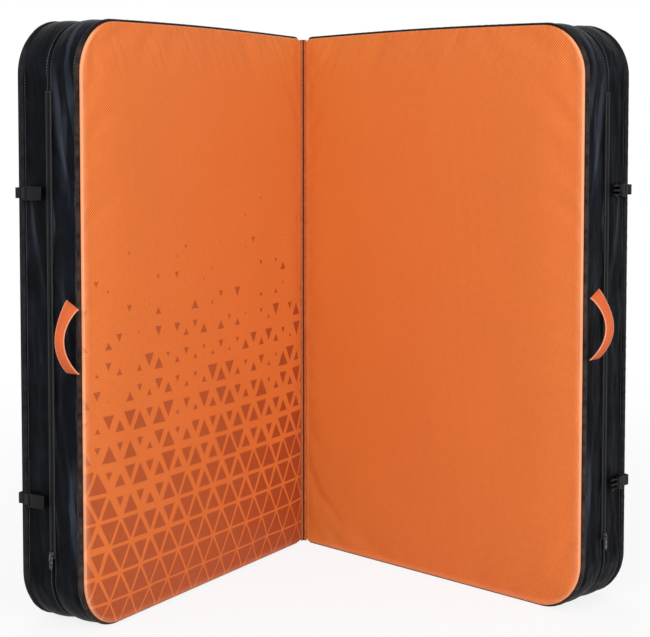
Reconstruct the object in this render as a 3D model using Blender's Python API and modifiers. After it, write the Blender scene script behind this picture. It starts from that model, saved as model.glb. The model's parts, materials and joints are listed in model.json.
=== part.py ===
"""Folding bouldering crash pad, standing open like a book on its short sides.

Two cushions of one size meet at a sewn fold on their landing side. Each has an orange landing
cover, a black side band in two strips, a black back panel and three layers of foam. A half's own
directions are u, from the fold to its outer end, t, from its landing side to its back, and z, up.
Lengths are in metres and angles in radians.
"""

import math
from dataclasses import dataclass

import bmesh
import bpy

# The whole pad
PAD_HEIGHT = 1.000
HALF_WIDTH = 0.650
PAD_THICKNESS = 0.138
OPENING_ANGLE = math.radians(77.0)
GAP = 0.0003
OVERRUN = 0.010
FLOOR_CUT = 0.0005

# Outline of a half, seen from its landing side
OUTER_CORNER = 0.085
FOLD_CORNER = 0.025
TOP_BOW = 0.004
OUTER_CORNER_STEPS = 6
FOLD_CORNER_STEPS = 3
BOW_STEPS = 6

# Fold
HINGE_DEPTH = 0.0035
COVER_FOLD_GAP = 0.0015
BAND_FOLD_GAP = 0.0015
FOLD_ROLL_END = 0.016

# Covers and side bands
COVER_WALL = 0.007
EDGE_ROLL = 0.003
EDGE_ROLL_STEPS = 3
LANDING_CROWN = 0.005
BACK_CROWN = 0.004
CROWN_REACH = 0.090
CROWN_STEPS = 5
BAND_WALL = 0.003
BAND_BULGE = 0.004
BULGE_STEPS = 6
PIPING_RADIUS = 0.0025
PIPING_PROUD = 0.0005

# Foam
FIRM_FOAM = 0.020
BASE_FOAM = 0.015

# Carry handles on the outer ends
HANDLE_HEIGHT = 0.490
HANDLE_SPAN = 0.118
HANDLE_STANDOFF = 0.042
HANDLE_INSET = 0.0012
HANDLE_STEPS = 16
WEBBING_WIDTH = 0.025
HANDLE_WALL = 0.0022
NECK_REACH = 0.0174

# Zips along the middle of the outer ends
ZIP_START = 0.120
ZIP_END = 0.880
ZIP_TAPE_WIDTH = 0.012
ZIP_TAPE = 0.0010
COIL_WIDTH = 0.0030
COIL_RISE = 0.0013
SLIDER_LENGTH = 0.011
SLIDER_WIDTH = 0.009
SLIDER_WALL = 0.0014
BRIDGE_LENGTH = 0.0080
BRIDGE_RISE = 0.0032
BRIDGE_WALL = 0.0010
BRIDGE_WIDTH = 0.0020
PULLER_LENGTH = 0.024
PULLER_WIDTH = 0.0075
PULLER_WALL = 0.0012
PULLER_EYE_WIDTH = 0.0032
PULLER_EYE_LENGTH = 0.0050
PULLER_BAR = 0.0012

# Closure straps at the back edge of the outer ends
CLOSURE_UPPER = 0.715
CLOSURE_LOWER = 0.212
STRAP_WALL = 0.0016
STRAP_PIVOT_INSET = 0.0115
STRAP_LENGTH = 0.0115
ANCHOR_LENGTH = 0.050
BUCKLE_WIDTH = 0.0320
BUCKLE_WALL = 0.0076
BUCKLE_BEVEL = 0.0014
BUCKLE_ARM_GAP = 0.0006
BUCKLE_SLOT = 0.0062
BAR_RADIUS = 0.0015
BAR_SIDES = 16
FEMALE_LENGTH = 0.030
FEMALE_SHELL = 0.0013
FEMALE_SIDE_WALL = 0.0026
FEMALE_MOUTH_DEPTH = 0.024
FEMALE_WINDOW_START = 0.008
FEMALE_WINDOW_LENGTH = 0.010
MALE_BLOCK = 0.008
PRONG_LENGTH = 0.022
PRONG_WALL = 0.0042
GUIDE_WIDTH = 0.0050
PRONG_WIDTH = 0.0030
BARB_WIDTH = 0.0030
BARB_LENGTH = 0.0080

# Shoulder straps on the back of the left half
HARNESS_SHIFT = 0.005
YOKE_WIDTH = 0.250
YOKE_HEIGHT = 0.060
YOKE_BASE = 0.730
PATCH_WALL = 0.0030
PATCH_BEVEL = 0.0008
PAD_TOP_SPACING = 0.080
PAD_FOOT_SPACING = 0.125
SHOULDER_PAD_TOP = 0.770
SHOULDER_PAD_FOOT = 0.400
SHOULDER_PAD_WIDTH = 0.060
SHOULDER_PAD_WALL = 0.012
SHOULDER_PAD_ARCH = 0.046
SHOULDER_PAD_STEPS = 12
PAD_PROFILE_STEPS = 4
LADDER_WIDTH = 0.034
LADDER_LENGTH = 0.0285
LADDER_WALL = 0.0036
LADDER_SIDE = 0.0040
LADDER_BAR = 0.0045
HOLDER_LENGTH = 0.0120
TURN_STEPS = 4
TAIL_LENGTH = 0.060
LOWER_ANCHOR_BASE = 0.215
LOWER_ANCHOR_WIDTH = 0.060
LOWER_ANCHOR_HEIGHT = 0.050
LOWER_STRAP_FOOT = 0.235
LOWER_STRAP_STEPS = 8

# Places along t, worked out from the sizes above
RIM_T = HINGE_DEPTH
COVER_SEAM_T = RIM_T + COVER_WALL
FRONT_PIPING_T = COVER_SEAM_T + GAP + PIPING_RADIUS
BAND_START_T = FRONT_PIPING_T + PIPING_RADIUS + GAP
BACK_RIM_T = RIM_T + PAD_THICKNESS
BACK_SEAM_T = BACK_RIM_T - COVER_WALL
BACK_PIPING_T = BACK_SEAM_T - GAP - PIPING_RADIUS
BAND_END_T = BACK_PIPING_T - PIPING_RADIUS - GAP
ZIP_T = (BAND_START_T + BAND_END_T) / 2
BACK_CREST_T = BACK_RIM_T + BACK_CROWN
HANDLE_T = BAND_START_T + HANDLE_INSET + WEBBING_WIDTH / 2
STRAP_PIVOT_T = BACK_RIM_T - STRAP_PIVOT_INSET
BAR_T = STRAP_PIVOT_T - STRAP_LENGTH

# Middle of the shoulder straps along u
HARNESS_CENTRE = HALF_WIDTH / 2 + HARNESS_SHIFT

# Distances out from a half's outer end
LOOP_RADIUS = BAR_RADIUS + GAP + STRAP_WALL
STRAP_PIVOT_OUT = BAND_BULGE + GAP + STRAP_WALL / 2
BAR_OUT = BAND_BULGE + GAP + LOOP_RADIUS

# Heights
BASE_Z = BAND_BULGE - FLOOR_CUT
TOP_Z = PAD_HEIGHT - BAND_BULGE - TOP_BOW

# The handles' tips reach furthest forward, and the back panels' rolled fold edges furthest back
SINE = math.sin(OPENING_ANGLE / 2)
COSINE = math.cos(OPENING_ANGLE / 2)
HANDLE_TIP = HALF_WIDTH + HANDLE_STANDOFF + HANDLE_WALL / 2
FRONT_REACH = HANDLE_TIP * COSINE - (HANDLE_T - WEBBING_WIDTH / 2) * SINE
EDGE_U = BAND_FOLD_GAP + BAND_BULGE + EDGE_ROLL
BACK_REACH = (BACK_RIM_T - EDGE_ROLL) * SINE - EDGE_U * COSINE + EDGE_ROLL
FOLD_Y = (FRONT_REACH - BACK_REACH) / 2

LEFT = -1
RIGHT = 1

# A flat outline stands up facing along y, or facing along x with its first axis along y
FACING = (math.radians(90), 0, 0)
SIDEWAYS = (math.radians(90), 0, math.radians(90))

SIDE_NAMES = {LEFT: "left", RIGHT: "right"}


@dataclass(frozen=True)
class Finish:
    """Colour in linear values, with roughness and metallic value."""

    colour: tuple
    roughness: float
    metallic: float = 0.0


ORANGE_SHARES = (0.75, 0.16, 0.035, 1.0)
HANDLE_SHARES = (0.86, 0.15, 0.045, 1.0)
SEAM_SHARES = (0.30, 0.065, 0.015, 1.0)
BLACK_SHARES = (0.010, 0.012, 0.016, 1.0)
GREY_SHARES = (0.030, 0.030, 0.032, 1.0)
FIRM_FOAM_SHARES = (0.10, 0.10, 0.11, 1.0)
SOFT_FOAM_SHARES = (0.62, 0.58, 0.42, 1.0)

ORANGE_FABRIC = Finish(ORANGE_SHARES, 0.75)
ORANGE_WEBBING = Finish(HANDLE_SHARES, 0.70)
FOLD_FABRIC = Finish(SEAM_SHARES, 0.80)
BLACK_FABRIC = Finish(BLACK_SHARES, 0.50)
GREY_BINDING = Finish(GREY_SHARES, 0.60)
BLACK_WEBBING = Finish(BLACK_SHARES, 0.75)
BLACK_PLASTIC = Finish(BLACK_SHARES, 0.35)
ZIP_METAL = Finish(GREY_SHARES, 0.40, 0.8)
FIRM_FOAM_LOOK = Finish(FIRM_FOAM_SHARES, 0.90)
SOFT_FOAM_LOOK = Finish(SOFT_FOAM_SHARES, 0.95)


def clear_scene():
    for obj in list(bpy.data.objects):
        bpy.data.objects.remove(obj, do_unlink=True)


def new_collection(name):
    collection = bpy.data.collections.new(name)
    bpy.context.scene.collection.children.link(collection)
    return collection


def add_material(obj, finish):
    material = bpy.data.materials.new(obj.name)
    material.use_nodes = True
    shader = material.node_tree.nodes["Principled BSDF"]
    shader.inputs["Base Color"].default_value = finish.colour
    shader.inputs["Roughness"].default_value = finish.roughness
    shader.inputs["Metallic"].default_value = finish.metallic
    material.diffuse_color = finish.colour
    obj.data.materials.clear()
    obj.data.materials.append(material)


def add_object(name, data, parent, location=(0, 0, 0), rotation=(0, 0, 0)):
    obj = bpy.data.objects.new(name, data)
    parts.objects.link(obj)
    obj.parent = parent
    obj.location = location
    obj.rotation_euler = rotation
    return obj


def new_axis(name, parent, location):
    """An empty on a joint's axis, or at a place that several pieces share."""
    axis = bpy.data.objects.new(name, None)
    parts.objects.link(axis)
    axis.parent = parent
    axis.location = location
    return axis


def as_cutter(obj):
    """Moves an object from the parts to the cutters, where it only shapes others."""
    parts.objects.unlink(obj)
    cutters.objects.link(obj)
    obj.hide_render = True
    obj.display_type = "WIRE"


def boolean(target, tool, operation):
    modifier = target.modifiers.new(operation.title(), "BOOLEAN")
    modifier.operation = operation
    modifier.solver = "EXACT"
    modifier.object = tool
    as_cutter(tool)


def bevel(target, width, segments=2):
    modifier = target.modifiers.new("Bevel", "BEVEL")
    modifier.width = width
    modifier.segments = segments
    modifier.limit_method = "ANGLE"


def as_mesh(obj):
    """Replaces a curve object by the mesh that it draws, closed and facing outwards."""
    bpy.context.view_layer.update()
    graph = bpy.context.evaluated_depsgraph_get()
    mesh = bpy.data.meshes.new_from_object(obj.evaluated_get(graph))
    shell = bmesh.new()
    shell.from_mesh(mesh)
    bmesh.ops.remove_doubles(shell, verts=shell.verts, dist=GAP / 10)
    bmesh.ops.recalc_face_normals(shell, faces=shell.faces)
    shell.to_mesh(mesh)
    shell.free()
    name = obj.name
    parent = obj.parent
    location = obj.location.copy()
    rotation = obj.rotation_euler.copy()
    bpy.data.objects.remove(obj, do_unlink=True)
    return add_object(name, mesh, parent, location, rotation)


def add_spline(curve, points):
    spline = curve.splines.new("POLY")
    spline.points.add(len(points) - 1)
    for item, (x, y) in zip(spline.points, points):
        item.co = (x, y, 0, 1)
    spline.use_cyclic_u = True


def plate(name, outlines, thickness):
    """A filled flat outline, less the holes after the first, with a thickness about its plane."""
    curve = bpy.data.curves.new(name, "CURVE")
    curve.dimensions = "2D"
    curve.fill_mode = "BOTH"
    curve.extrude = thickness / 2
    for points in outlines:
        add_spline(curve, points)
    return curve


def box(name, parent, centre, size):
    """A box in the half's own x, y and z, its size in its mesh."""
    mesh = bpy.data.meshes.new(name)
    shell = bmesh.new()
    bmesh.ops.create_cube(shell, size=1)
    bmesh.ops.scale(shell, vec=size, verts=shell.verts)
    shell.to_mesh(mesh)
    shell.free()
    return add_object(name, mesh, parent, centre)


def bar(name, parent, centre, radius, length):
    """A round bar along z."""
    mesh = bpy.data.meshes.new(name)
    shell = bmesh.new()
    bmesh.ops.create_cone(
        shell,
        cap_ends=True,
        segments=BAR_SIDES,
        radius1=radius,
        radius2=radius,
        depth=length,
    )
    shell.to_mesh(mesh)
    shell.free()
    return add_object(name, mesh, parent, centre)


def arc(centre_x, centre_y, radius_x, radius_y, start, end, steps):
    """Points along an ellipse, from one angle to another in degrees."""
    points = []
    for step in range(steps + 1):
        angle = math.radians(start + (end - start) * step / steps)
        x = centre_x + radius_x * math.cos(angle)
        y = centre_y + radius_y * math.sin(angle)
        points.append((x, y))
    return points


def outline(u_fold, inset=0.0):
    """The half's outline (u, z), drawn in by inset, from its lower fold corner anticlockwise."""
    u_low = u_fold + inset
    u_high = HALF_WIDTH - inset
    z_low = BASE_Z + inset
    z_high = TOP_Z - inset
    inner = FOLD_CORNER - inset
    outer = OUTER_CORNER - inset
    points = arc(u_low + inner, z_low + inner, inner, inner, 180, 270, FOLD_CORNER_STEPS)
    points += arc(u_high - outer, z_low + outer, outer, outer, 270, 360, OUTER_CORNER_STEPS)
    points += arc(u_high - outer, z_high - outer, outer, outer, 0, 90, OUTER_CORNER_STEPS)
    for step in range(1, BOW_STEPS):
        share = step / BOW_STEPS
        u = u_high - outer + (u_low + inner - u_high + outer) * share
        points.append((u, z_high + TOP_BOW * math.sin(math.pi * share)))
    points += arc(u_low + inner, z_high - inner, inner, inner, 90, 180, FOLD_CORNER_STEPS)
    return points


def sided(points, side):
    """Points (u, other) as (x, y) of a half, kept anticlockwise."""
    turned = [(side * x, y) for x, y in points]
    return turned if side == RIGHT else turned[::-1]


def bulge_at(t):
    """How far the side band stands out at t, beyond the outline."""
    start, end = (BAND_START_T, ZIP_T) if t < ZIP_T else (ZIP_T, BAND_END_T)
    share = (2 * t - start - end) / (end - start)
    return BAND_BULGE * (1 - share * share)


def bulge_points(start, end, grown=0.0):
    """The outer curve of a strip of the band, as (out, t), grown outwards by a clearance."""
    points = []
    for step in range(BULGE_STEPS + 1):
        t = start + (end - start) * step / BULGE_STEPS
        share = 2 * step / BULGE_STEPS - 1
        points.append((grown + BAND_BULGE * (1 - share * share), t))
    return points


def ring(name, parent, side, u_fold, profile, ring_t, finish):
    """A profile of points (out, t) swept round the outline of a half."""
    section = bpy.data.curves.new(name + "_section", "CURVE")
    section.dimensions = "2D"
    add_spline(section, [(-out, ring_t - t) for out, t in profile])
    guide = add_object(name + "_section", section, None)
    as_cutter(guide)
    path = bpy.data.curves.new(name, "CURVE")
    path.dimensions = "2D"
    path.fill_mode = "NONE"
    add_spline(path, sided(outline(u_fold), side))
    path.bevel_mode = "OBJECT"
    path.bevel_object = guide
    swept = as_mesh(add_object(name, path, parent, (0, ring_t, 0), FACING))
    bpy.data.objects.remove(guide, do_unlink=True)
    add_material(swept, finish)
    return swept


def side_band(half, side, place, start, end):
    """One strip of the black side band, cut flat where the pad stands on it."""
    name = f"{SIDE_NAMES[side]}_band_{place}"
    profile = bulge_points(start, end) + [(-BAND_WALL, end), (-BAND_WALL, start)]
    u_fold = BAND_FOLD_GAP + BAND_BULGE
    band = ring(name, half, side, u_fold, profile, (start + end) / 2, BLACK_FABRIC)
    floor = box(
        name + "_floor",
        half,
        (side * HALF_WIDTH / 2, (start + end) / 2, -OVERRUN / 2),
        (HALF_WIDTH + 2 * OVERRUN, end - start + 2 * OVERRUN, OVERRUN),
    )
    boolean(band, floor, "DIFFERENCE")


def piping(half, side, place, centre_t):
    """The round cord sewn into the seam between a cover and the side band."""
    steps = 2 * FOLD_CORNER_STEPS
    profile = arc(PIPING_PROUD, centre_t, PIPING_RADIUS, PIPING_RADIUS, 0, 360, steps)[:-1]
    name = f"{SIDE_NAMES[side]}_piping_{place}"
    ring(name, half, side, BAND_FOLD_GAP + BAND_BULGE, profile, centre_t, GREY_BINDING)


def crowned_panel(name, parent, side, u_fold, seam_t, outward, crown, finish):
    """A cover over the foam: a wall at its rim, a rolled edge and a crown that rises from it.

    outward is -1 where it faces the landing side and 1 where it faces the back.
    """
    points = sided(outline(u_fold), side)
    centre_x = side * (u_fold + HALF_WIDTH) / 2
    centre_z = (BASE_Z + TOP_Z) / 2
    width = HALF_WIDTH - u_fold
    height = TOP_Z - BASE_Z
    rises = []
    for step in range(EDGE_ROLL_STEPS + 1):
        angle = math.radians(90) * step / EDGE_ROLL_STEPS
        inset = EDGE_ROLL * (1 - math.cos(angle))
        rises.append((inset, COVER_WALL - EDGE_ROLL + EDGE_ROLL * math.sin(angle)))
    for step in range(1, CROWN_STEPS + 1):
        share = step / CROWN_STEPS
        inset = EDGE_ROLL + (CROWN_REACH - EDGE_ROLL) * share
        rises.append((inset, COVER_WALL + crown * math.sin(math.radians(90) * share)))
    shell = bmesh.new()
    corners = [shell.verts.new((x, seam_t, z)) for x, z in points]
    top = shell.faces.new(corners)
    for inset, rise in rises:
        top = bmesh.ops.extrude_discrete_faces(shell, faces=[top])["faces"][0]
        for corner, (x, z) in zip(top.verts, points):
            corner.co.x = centre_x + (x - centre_x) * (1 - 2 * inset / width)
            corner.co.y = seam_t + outward * rise
            corner.co.z = centre_z + (z - centre_z) * (1 - 2 * inset / height)
    shell.faces.new(corners)
    bmesh.ops.recalc_face_normals(shell, faces=shell.faces)
    mesh = bpy.data.meshes.new(name)
    shell.to_mesh(mesh)
    shell.free()
    panel = add_object(name, mesh, parent)
    add_material(panel, finish)


def foam_layer(half, side, place, start, thickness, finish):
    """One sheet of foam, cut to the shape inside the side band."""
    name = f"{SIDE_NAMES[side]}_foam_{place}"
    points = sided(outline(BAND_FOLD_GAP + BAND_BULGE, BAND_WALL + GAP), side)
    centre = (0, start + thickness / 2, 0)
    layer = add_object(name, plate(name, [points], thickness), half, centre, FACING)
    add_material(layer, finish)


def cushion(half, side):
    """Covers, side band, pipings and foam of one half, from the landing side to the back."""
    name = SIDE_NAMES[side]
    cover = f"{name}_landing_cover"
    crowned_panel(cover, half, side, COVER_FOLD_GAP, COVER_SEAM_T, -1, LANDING_CROWN, ORANGE_FABRIC)
    back = f"{name}_back_panel"
    u_fold = BAND_FOLD_GAP + BAND_BULGE
    crowned_panel(back, half, side, u_fold, BACK_SEAM_T, 1, BACK_CROWN, BLACK_FABRIC)
    side_band(half, side, "front", BAND_START_T, ZIP_T - GAP / 2)
    side_band(half, side, "back", ZIP_T + GAP / 2, BAND_END_T)
    piping(half, side, "front", FRONT_PIPING_T)
    piping(half, side, "back", BACK_PIPING_T)
    firm_t = COVER_SEAM_T + GAP
    core_t = firm_t + FIRM_FOAM + GAP
    base_t = BACK_SEAM_T - GAP - BASE_FOAM
    foam_layer(half, side, "firm", firm_t, FIRM_FOAM, FIRM_FOAM_LOOK)
    foam_layer(half, side, "core", core_t, base_t - GAP - core_t, SOFT_FOAM_LOOK)
    foam_layer(half, side, "base", base_t, BASE_FOAM, FIRM_FOAM_LOOK)


def fold_seam(half):
    """The rolled seam of landing fabric in the fold, on the axis that both halves turn about."""
    edge = math.hypot(COVER_FOLD_GAP + EDGE_ROLL, HINGE_DEPTH + EDGE_ROLL) - EDGE_ROLL
    length = TOP_Z - BASE_Z - 2 * FOLD_ROLL_END
    roll = bar("fold_seam_roll", half, (0, 0, (BASE_Z + TOP_Z) / 2), edge - GAP, length)
    add_material(roll, FOLD_FABRIC)


def handle_arc(offset, start, end):
    """Points (out, z) along the handle's loop, offset from the middle of its webbing."""
    height = HANDLE_SPAN / 2 - HANDLE_WALL / 2 + offset
    reach = HANDLE_STANDOFF + offset
    return arc(0, 0, reach, height, start, end, HANDLE_STEPS)


def carry_handle(half, side):
    """A loop of orange webbing: two sewn necks on the band and the grip that swings on them."""
    name = SIDE_NAMES[side]
    wall = HANDLE_WALL / 2
    height = HANDLE_SPAN / 2 - wall
    cut = math.degrees(math.acos(NECK_REACH / HANDLE_STANDOFF))
    cut_z = height * math.sin(math.radians(cut))
    for place, way in (("upper", 1), ("lower", -1)):
        neck = f"{name}_handle_neck_{place}"
        outer = clipped(handle_arc(wall, 0, 90), cut_z + GAP)
        inner = clipped(handle_arc(-wall, 0, 90), cut_z + GAP)
        points = [(out, way * z) for out, z in outer + inner[::-1]]
        data = plate(neck, [sided(points, side)], WEBBING_WIDTH)
        origin = (side * HALF_WIDTH, HANDLE_T, HANDLE_HEIGHT)
        loop = as_mesh(add_object(neck, data, half, origin, FACING))
        surface = bulge_points(BAND_START_T, ZIP_T - GAP / 2, GAP)
        behind = [(-OVERRUN, ZIP_T), (-OVERRUN, BAND_START_T)]
        data = plate(neck + "_seat", [sided(surface + behind, side)], 2 * HANDLE_SPAN)
        origin = (side * HALF_WIDTH, 0, HANDLE_HEIGHT)
        seat = as_mesh(add_object(neck + "_seat", data, half, origin))
        boolean(loop, seat, "DIFFERENCE")
        add_material(loop, ORANGE_WEBBING)
    centre = (side * (HALF_WIDTH + NECK_REACH), HANDLE_T, HANDLE_HEIGHT)
    swing = new_axis(f"{name}_handle_axis", half, centre)
    outer = within(handle_arc(wall, -90, 90), cut_z)
    inner = within(handle_arc(-wall, -90, 90), cut_z)
    points = [(out - NECK_REACH, z) for out, z in outer + inner[::-1]]
    grip = f"{name}_handle_grip"
    data = plate(grip, [sided(points, side)], WEBBING_WIDTH)
    add_material(add_object(grip, data, swing, (0, 0, 0), FACING), ORANGE_WEBBING)


def crossing(first, second, height):
    share = (height - first[1]) / (second[1] - first[1])
    return (first[0] + (second[0] - first[0]) * share, height)


def clipped(points, height):
    """The part of a rising run of points above a height, starting on it."""
    kept = []
    for first, second in zip(points, points[1:]):
        if first[1] < height <= second[1]:
            kept.append(crossing(first, second, height))
        if second[1] > height:
            kept.append(second)
    return kept


def within(points, height):
    """The part of a rising run of points between -height and height, ending on both."""
    kept = []
    for first, second in zip(points, points[1:]):
        if first[1] < -height <= second[1]:
            kept.append(crossing(first, second, -height))
        if -height < second[1] < height:
            kept.append(second)
        if first[1] < height <= second[1]:
            kept.append(crossing(first, second, height))
    return kept


def zip_fastener(half, side):
    """Tape and coil over the middle seam, the slider that runs on the coil, and its puller."""
    name = SIDE_NAMES[side]
    tape_out = bulge_at(ZIP_T + ZIP_TAPE_WIDTH / 2) + GAP
    zip_tape(half, side, tape_out)
    coil_foot = tape_out + ZIP_TAPE
    centre = (side * (HALF_WIDTH + coil_foot), ZIP_T, ZIP_START + SLIDER_LENGTH / 2)
    runner = new_axis(f"{name}_zip_run", half, centre)
    zip_slider(runner, side)
    rise = COIL_RISE + GAP + SLIDER_WALL + (BRIDGE_RISE - BRIDGE_WALL) / 2
    axis = new_axis(f"{name}_puller_axis", runner, (side * rise, 0, 0))
    zip_puller(axis, side)


def zip_tape(half, side, tape_out):
    """The tape, with the coil as a ridge along its middle."""
    name = f"{SIDE_NAMES[side]}_zip_tape"
    coil_foot = tape_out + ZIP_TAPE
    coil_top = coil_foot + COIL_RISE
    half_tape = ZIP_TAPE_WIDTH / 2
    half_coil = COIL_WIDTH / 2
    points = [
        (tape_out, -half_tape),
        (coil_foot, -half_tape),
        (coil_foot, -half_coil),
        (coil_top, -half_coil),
        (coil_top, half_coil),
        (coil_foot, half_coil),
        (coil_foot, half_tape),
        (tape_out, half_tape),
    ]
    data = plate(name, [sided(points, side)], ZIP_END - ZIP_START)
    centre = (side * HALF_WIDTH, ZIP_T, (ZIP_START + ZIP_END) / 2)
    add_material(add_object(name, data, half, centre), BLACK_WEBBING)


def zip_slider(runner, side):
    """A channel over the coil with the bridge that holds the puller."""
    name = f"{SIDE_NAMES[side]}_zip_slider"
    roof = COIL_RISE + GAP
    top = roof + SLIDER_WALL
    inside = COIL_WIDTH / 2 + GAP
    half_slider = SLIDER_WIDTH / 2
    points = [
        (GAP, -half_slider),
        (top, -half_slider),
        (top, half_slider),
        (GAP, half_slider),
        (GAP, inside),
        (roof, inside),
        (roof, -inside),
        (GAP, -inside),
    ]
    body = as_mesh(add_object(name, plate(name, [sided(points, side)], SLIDER_LENGTH), runner))
    half_bridge = BRIDGE_LENGTH / 2
    sunk = top - SLIDER_WALL / 2
    peak = top + BRIDGE_RISE
    under = peak - BRIDGE_WALL
    within_bridge = half_bridge - BRIDGE_WALL
    points = [
        (sunk, -half_bridge),
        (peak, -half_bridge),
        (peak, half_bridge),
        (sunk, half_bridge),
        (sunk, within_bridge),
        (under, within_bridge),
        (under, -within_bridge),
        (sunk, -within_bridge),
    ]
    bridge = name + "_bridge"
    data = plate(bridge, [sided(points, side)], BRIDGE_WIDTH)
    arch = as_mesh(add_object(bridge, data, runner, (0, 0, 0), FACING))
    boolean(body, arch, "UNION")
    add_material(body, ZIP_METAL)


def zip_puller(axis, side):
    """A tab with an eye round the slider's bridge, hanging down along the tape."""
    name = f"{SIDE_NAMES[side]}_zip_puller"
    half_puller = PULLER_WIDTH / 2
    upper = PULLER_BAR / 2
    eye_low = -upper - PULLER_EYE_LENGTH
    low = upper - PULLER_LENGTH
    tab = arc(0, low + half_puller, half_puller, half_puller, 180, 360, FOLD_CORNER_STEPS * 2)
    tab += [(half_puller, upper), (-half_puller, upper)]
    half_eye = PULLER_EYE_WIDTH / 2
    eye = [(-half_eye, -upper), (half_eye, -upper), (half_eye, eye_low), (-half_eye, eye_low)]
    data = plate(name, [tab, eye], PULLER_WALL)
    add_material(add_object(name, data, axis, (0, 0, 0), SIDEWAYS), ZIP_METAL)


def closure_anchor(half, side, place, height):
    """Webbing sewn on the back panel that comes round the back edge to the strap's pivot."""
    name = f"{SIDE_NAMES[side]}_closure_anchor_{place}"
    lift = GAP + STRAP_WALL / 2
    crown = BACK_CROWN * math.sin(math.radians(90) * ANCHOR_LENGTH / CROWN_REACH)
    start = (-ANCHOR_LENGTH, BACK_RIM_T + crown + lift)
    corner = STRAP_PIVOT_OUT - STRAP_WALL
    turn_t = BACK_RIM_T + lift - STRAP_WALL
    middle = [start, (-STRAP_WALL, BACK_RIM_T + lift + STRAP_WALL / 2)]
    middle += arc(corner, turn_t, STRAP_WALL, STRAP_WALL, 90, 0, FOLD_CORNER_STEPS)
    middle.append((STRAP_PIVOT_OUT, STRAP_PIVOT_T + STRAP_WALL / 2 + 2 * GAP))
    points = thickened(middle, STRAP_WALL)
    data = plate(name, [sided(points, side)], WEBBING_WIDTH)
    add_material(add_object(name, data, half, (side * HALF_WIDTH, 0, height)), BLACK_WEBBING)


def thickened(middle, wall):
    """The outline of a strip whose middle line is given, with square ends."""
    left_side = []
    right_side = []
    for index, (x, y) in enumerate(middle):
        before = middle[max(index - 1, 0)]
        after = middle[min(index + 1, len(middle) - 1)]
        along = math.hypot(after[0] - before[0], after[1] - before[1])
        normal = ((before[1] - after[1]) / along, (after[0] - before[0]) / along)
        left_side.append((x + normal[0] * wall / 2, y + normal[1] * wall / 2))
        right_side.append((x - normal[0] * wall / 2, y - normal[1] * wall / 2))
    return right_side + left_side[::-1]


def closure_strap(pivot, side, place):
    """A short tongue of webbing from its sewn pivot to the loop round the buckle's bar."""
    name = f"{SIDE_NAMES[side]}_closure_strap_{place}"
    rise = BAR_OUT - STRAP_PIVOT_OUT
    end = STRAP_WALL / 2
    towards = math.degrees(math.atan2(-STRAP_LENGTH, rise))
    flare = math.degrees(math.asin((LOOP_RADIUS - end) / math.hypot(rise, STRAP_LENGTH)))
    low = towards - 90 - flare
    high = towards + 90 + flare
    points = arc(rise, -STRAP_LENGTH, LOOP_RADIUS, LOOP_RADIUS, low, high, BAR_SIDES)
    points += arc(0, 0, end, end, high, low + 360, 2 * FOLD_CORNER_STEPS)
    hole = arc(rise, -STRAP_LENGTH, BAR_RADIUS + GAP, BAR_RADIUS + GAP, 0, 360, BAR_SIDES)[:-1]
    data = plate(name, [sided(points, side), sided(hole, side)], WEBBING_WIDTH)
    add_material(add_object(name, data, pivot), BLACK_WEBBING)


def buckle_frame(name, axis, side, length):
    """The part both buckle halves share: a body, two arms and the bar that the strap loops round."""
    out = side * (BUCKLE_WALL / 2 - LOOP_RADIUS)
    total = length + BUCKLE_SLOT + BAR_RADIUS
    centre = (out, BAR_RADIUS - total / 2, 0)
    frame = box(name, axis, centre, (BUCKLE_WALL, total, BUCKLE_WIDTH))
    bevel(frame, BUCKLE_BEVEL)
    slot = box(
        name + "_slot",
        axis,
        (out, (OVERRUN - BUCKLE_SLOT) / 2, 0),
        (BUCKLE_WALL + OVERRUN, BUCKLE_SLOT + OVERRUN, WEBBING_WIDTH + 2 * BUCKLE_ARM_GAP),
    )
    boolean(frame, slot, "DIFFERENCE")
    rod = bar(name + "_bar", axis, (0, 0, 0), BAR_RADIUS, BUCKLE_WIDTH - 2 * BUCKLE_BEVEL)
    boolean(frame, rod, "UNION")
    return frame


def female_buckle(axis, side, place):
    """The socket half of a side-release buckle, with its mouth towards the landing side."""
    name = f"{SIDE_NAMES[side]}_buckle_socket_{place}"
    frame = buckle_frame(name, axis, side, FEMALE_LENGTH)
    out = side * (BUCKLE_WALL / 2 - LOOP_RADIUS)
    inside = BUCKLE_WALL - 2 * FEMALE_SHELL
    front = -(BUCKLE_SLOT + FEMALE_LENGTH)
    mouth = box(
        name + "_mouth",
        axis,
        (out, front + (FEMALE_MOUTH_DEPTH - OVERRUN) / 2, 0),
        (inside, FEMALE_MOUTH_DEPTH + OVERRUN, BUCKLE_WIDTH - 2 * FEMALE_SIDE_WALL),
    )
    boolean(frame, mouth, "DIFFERENCE")
    windows = box(
        name + "_windows",
        axis,
        (out, front + FEMALE_WINDOW_START + FEMALE_WINDOW_LENGTH / 2, 0),
        (inside, FEMALE_WINDOW_LENGTH, BUCKLE_WIDTH + OVERRUN),
    )
    boolean(frame, windows, "DIFFERENCE")
    add_material(frame, BLACK_PLASTIC)


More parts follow.
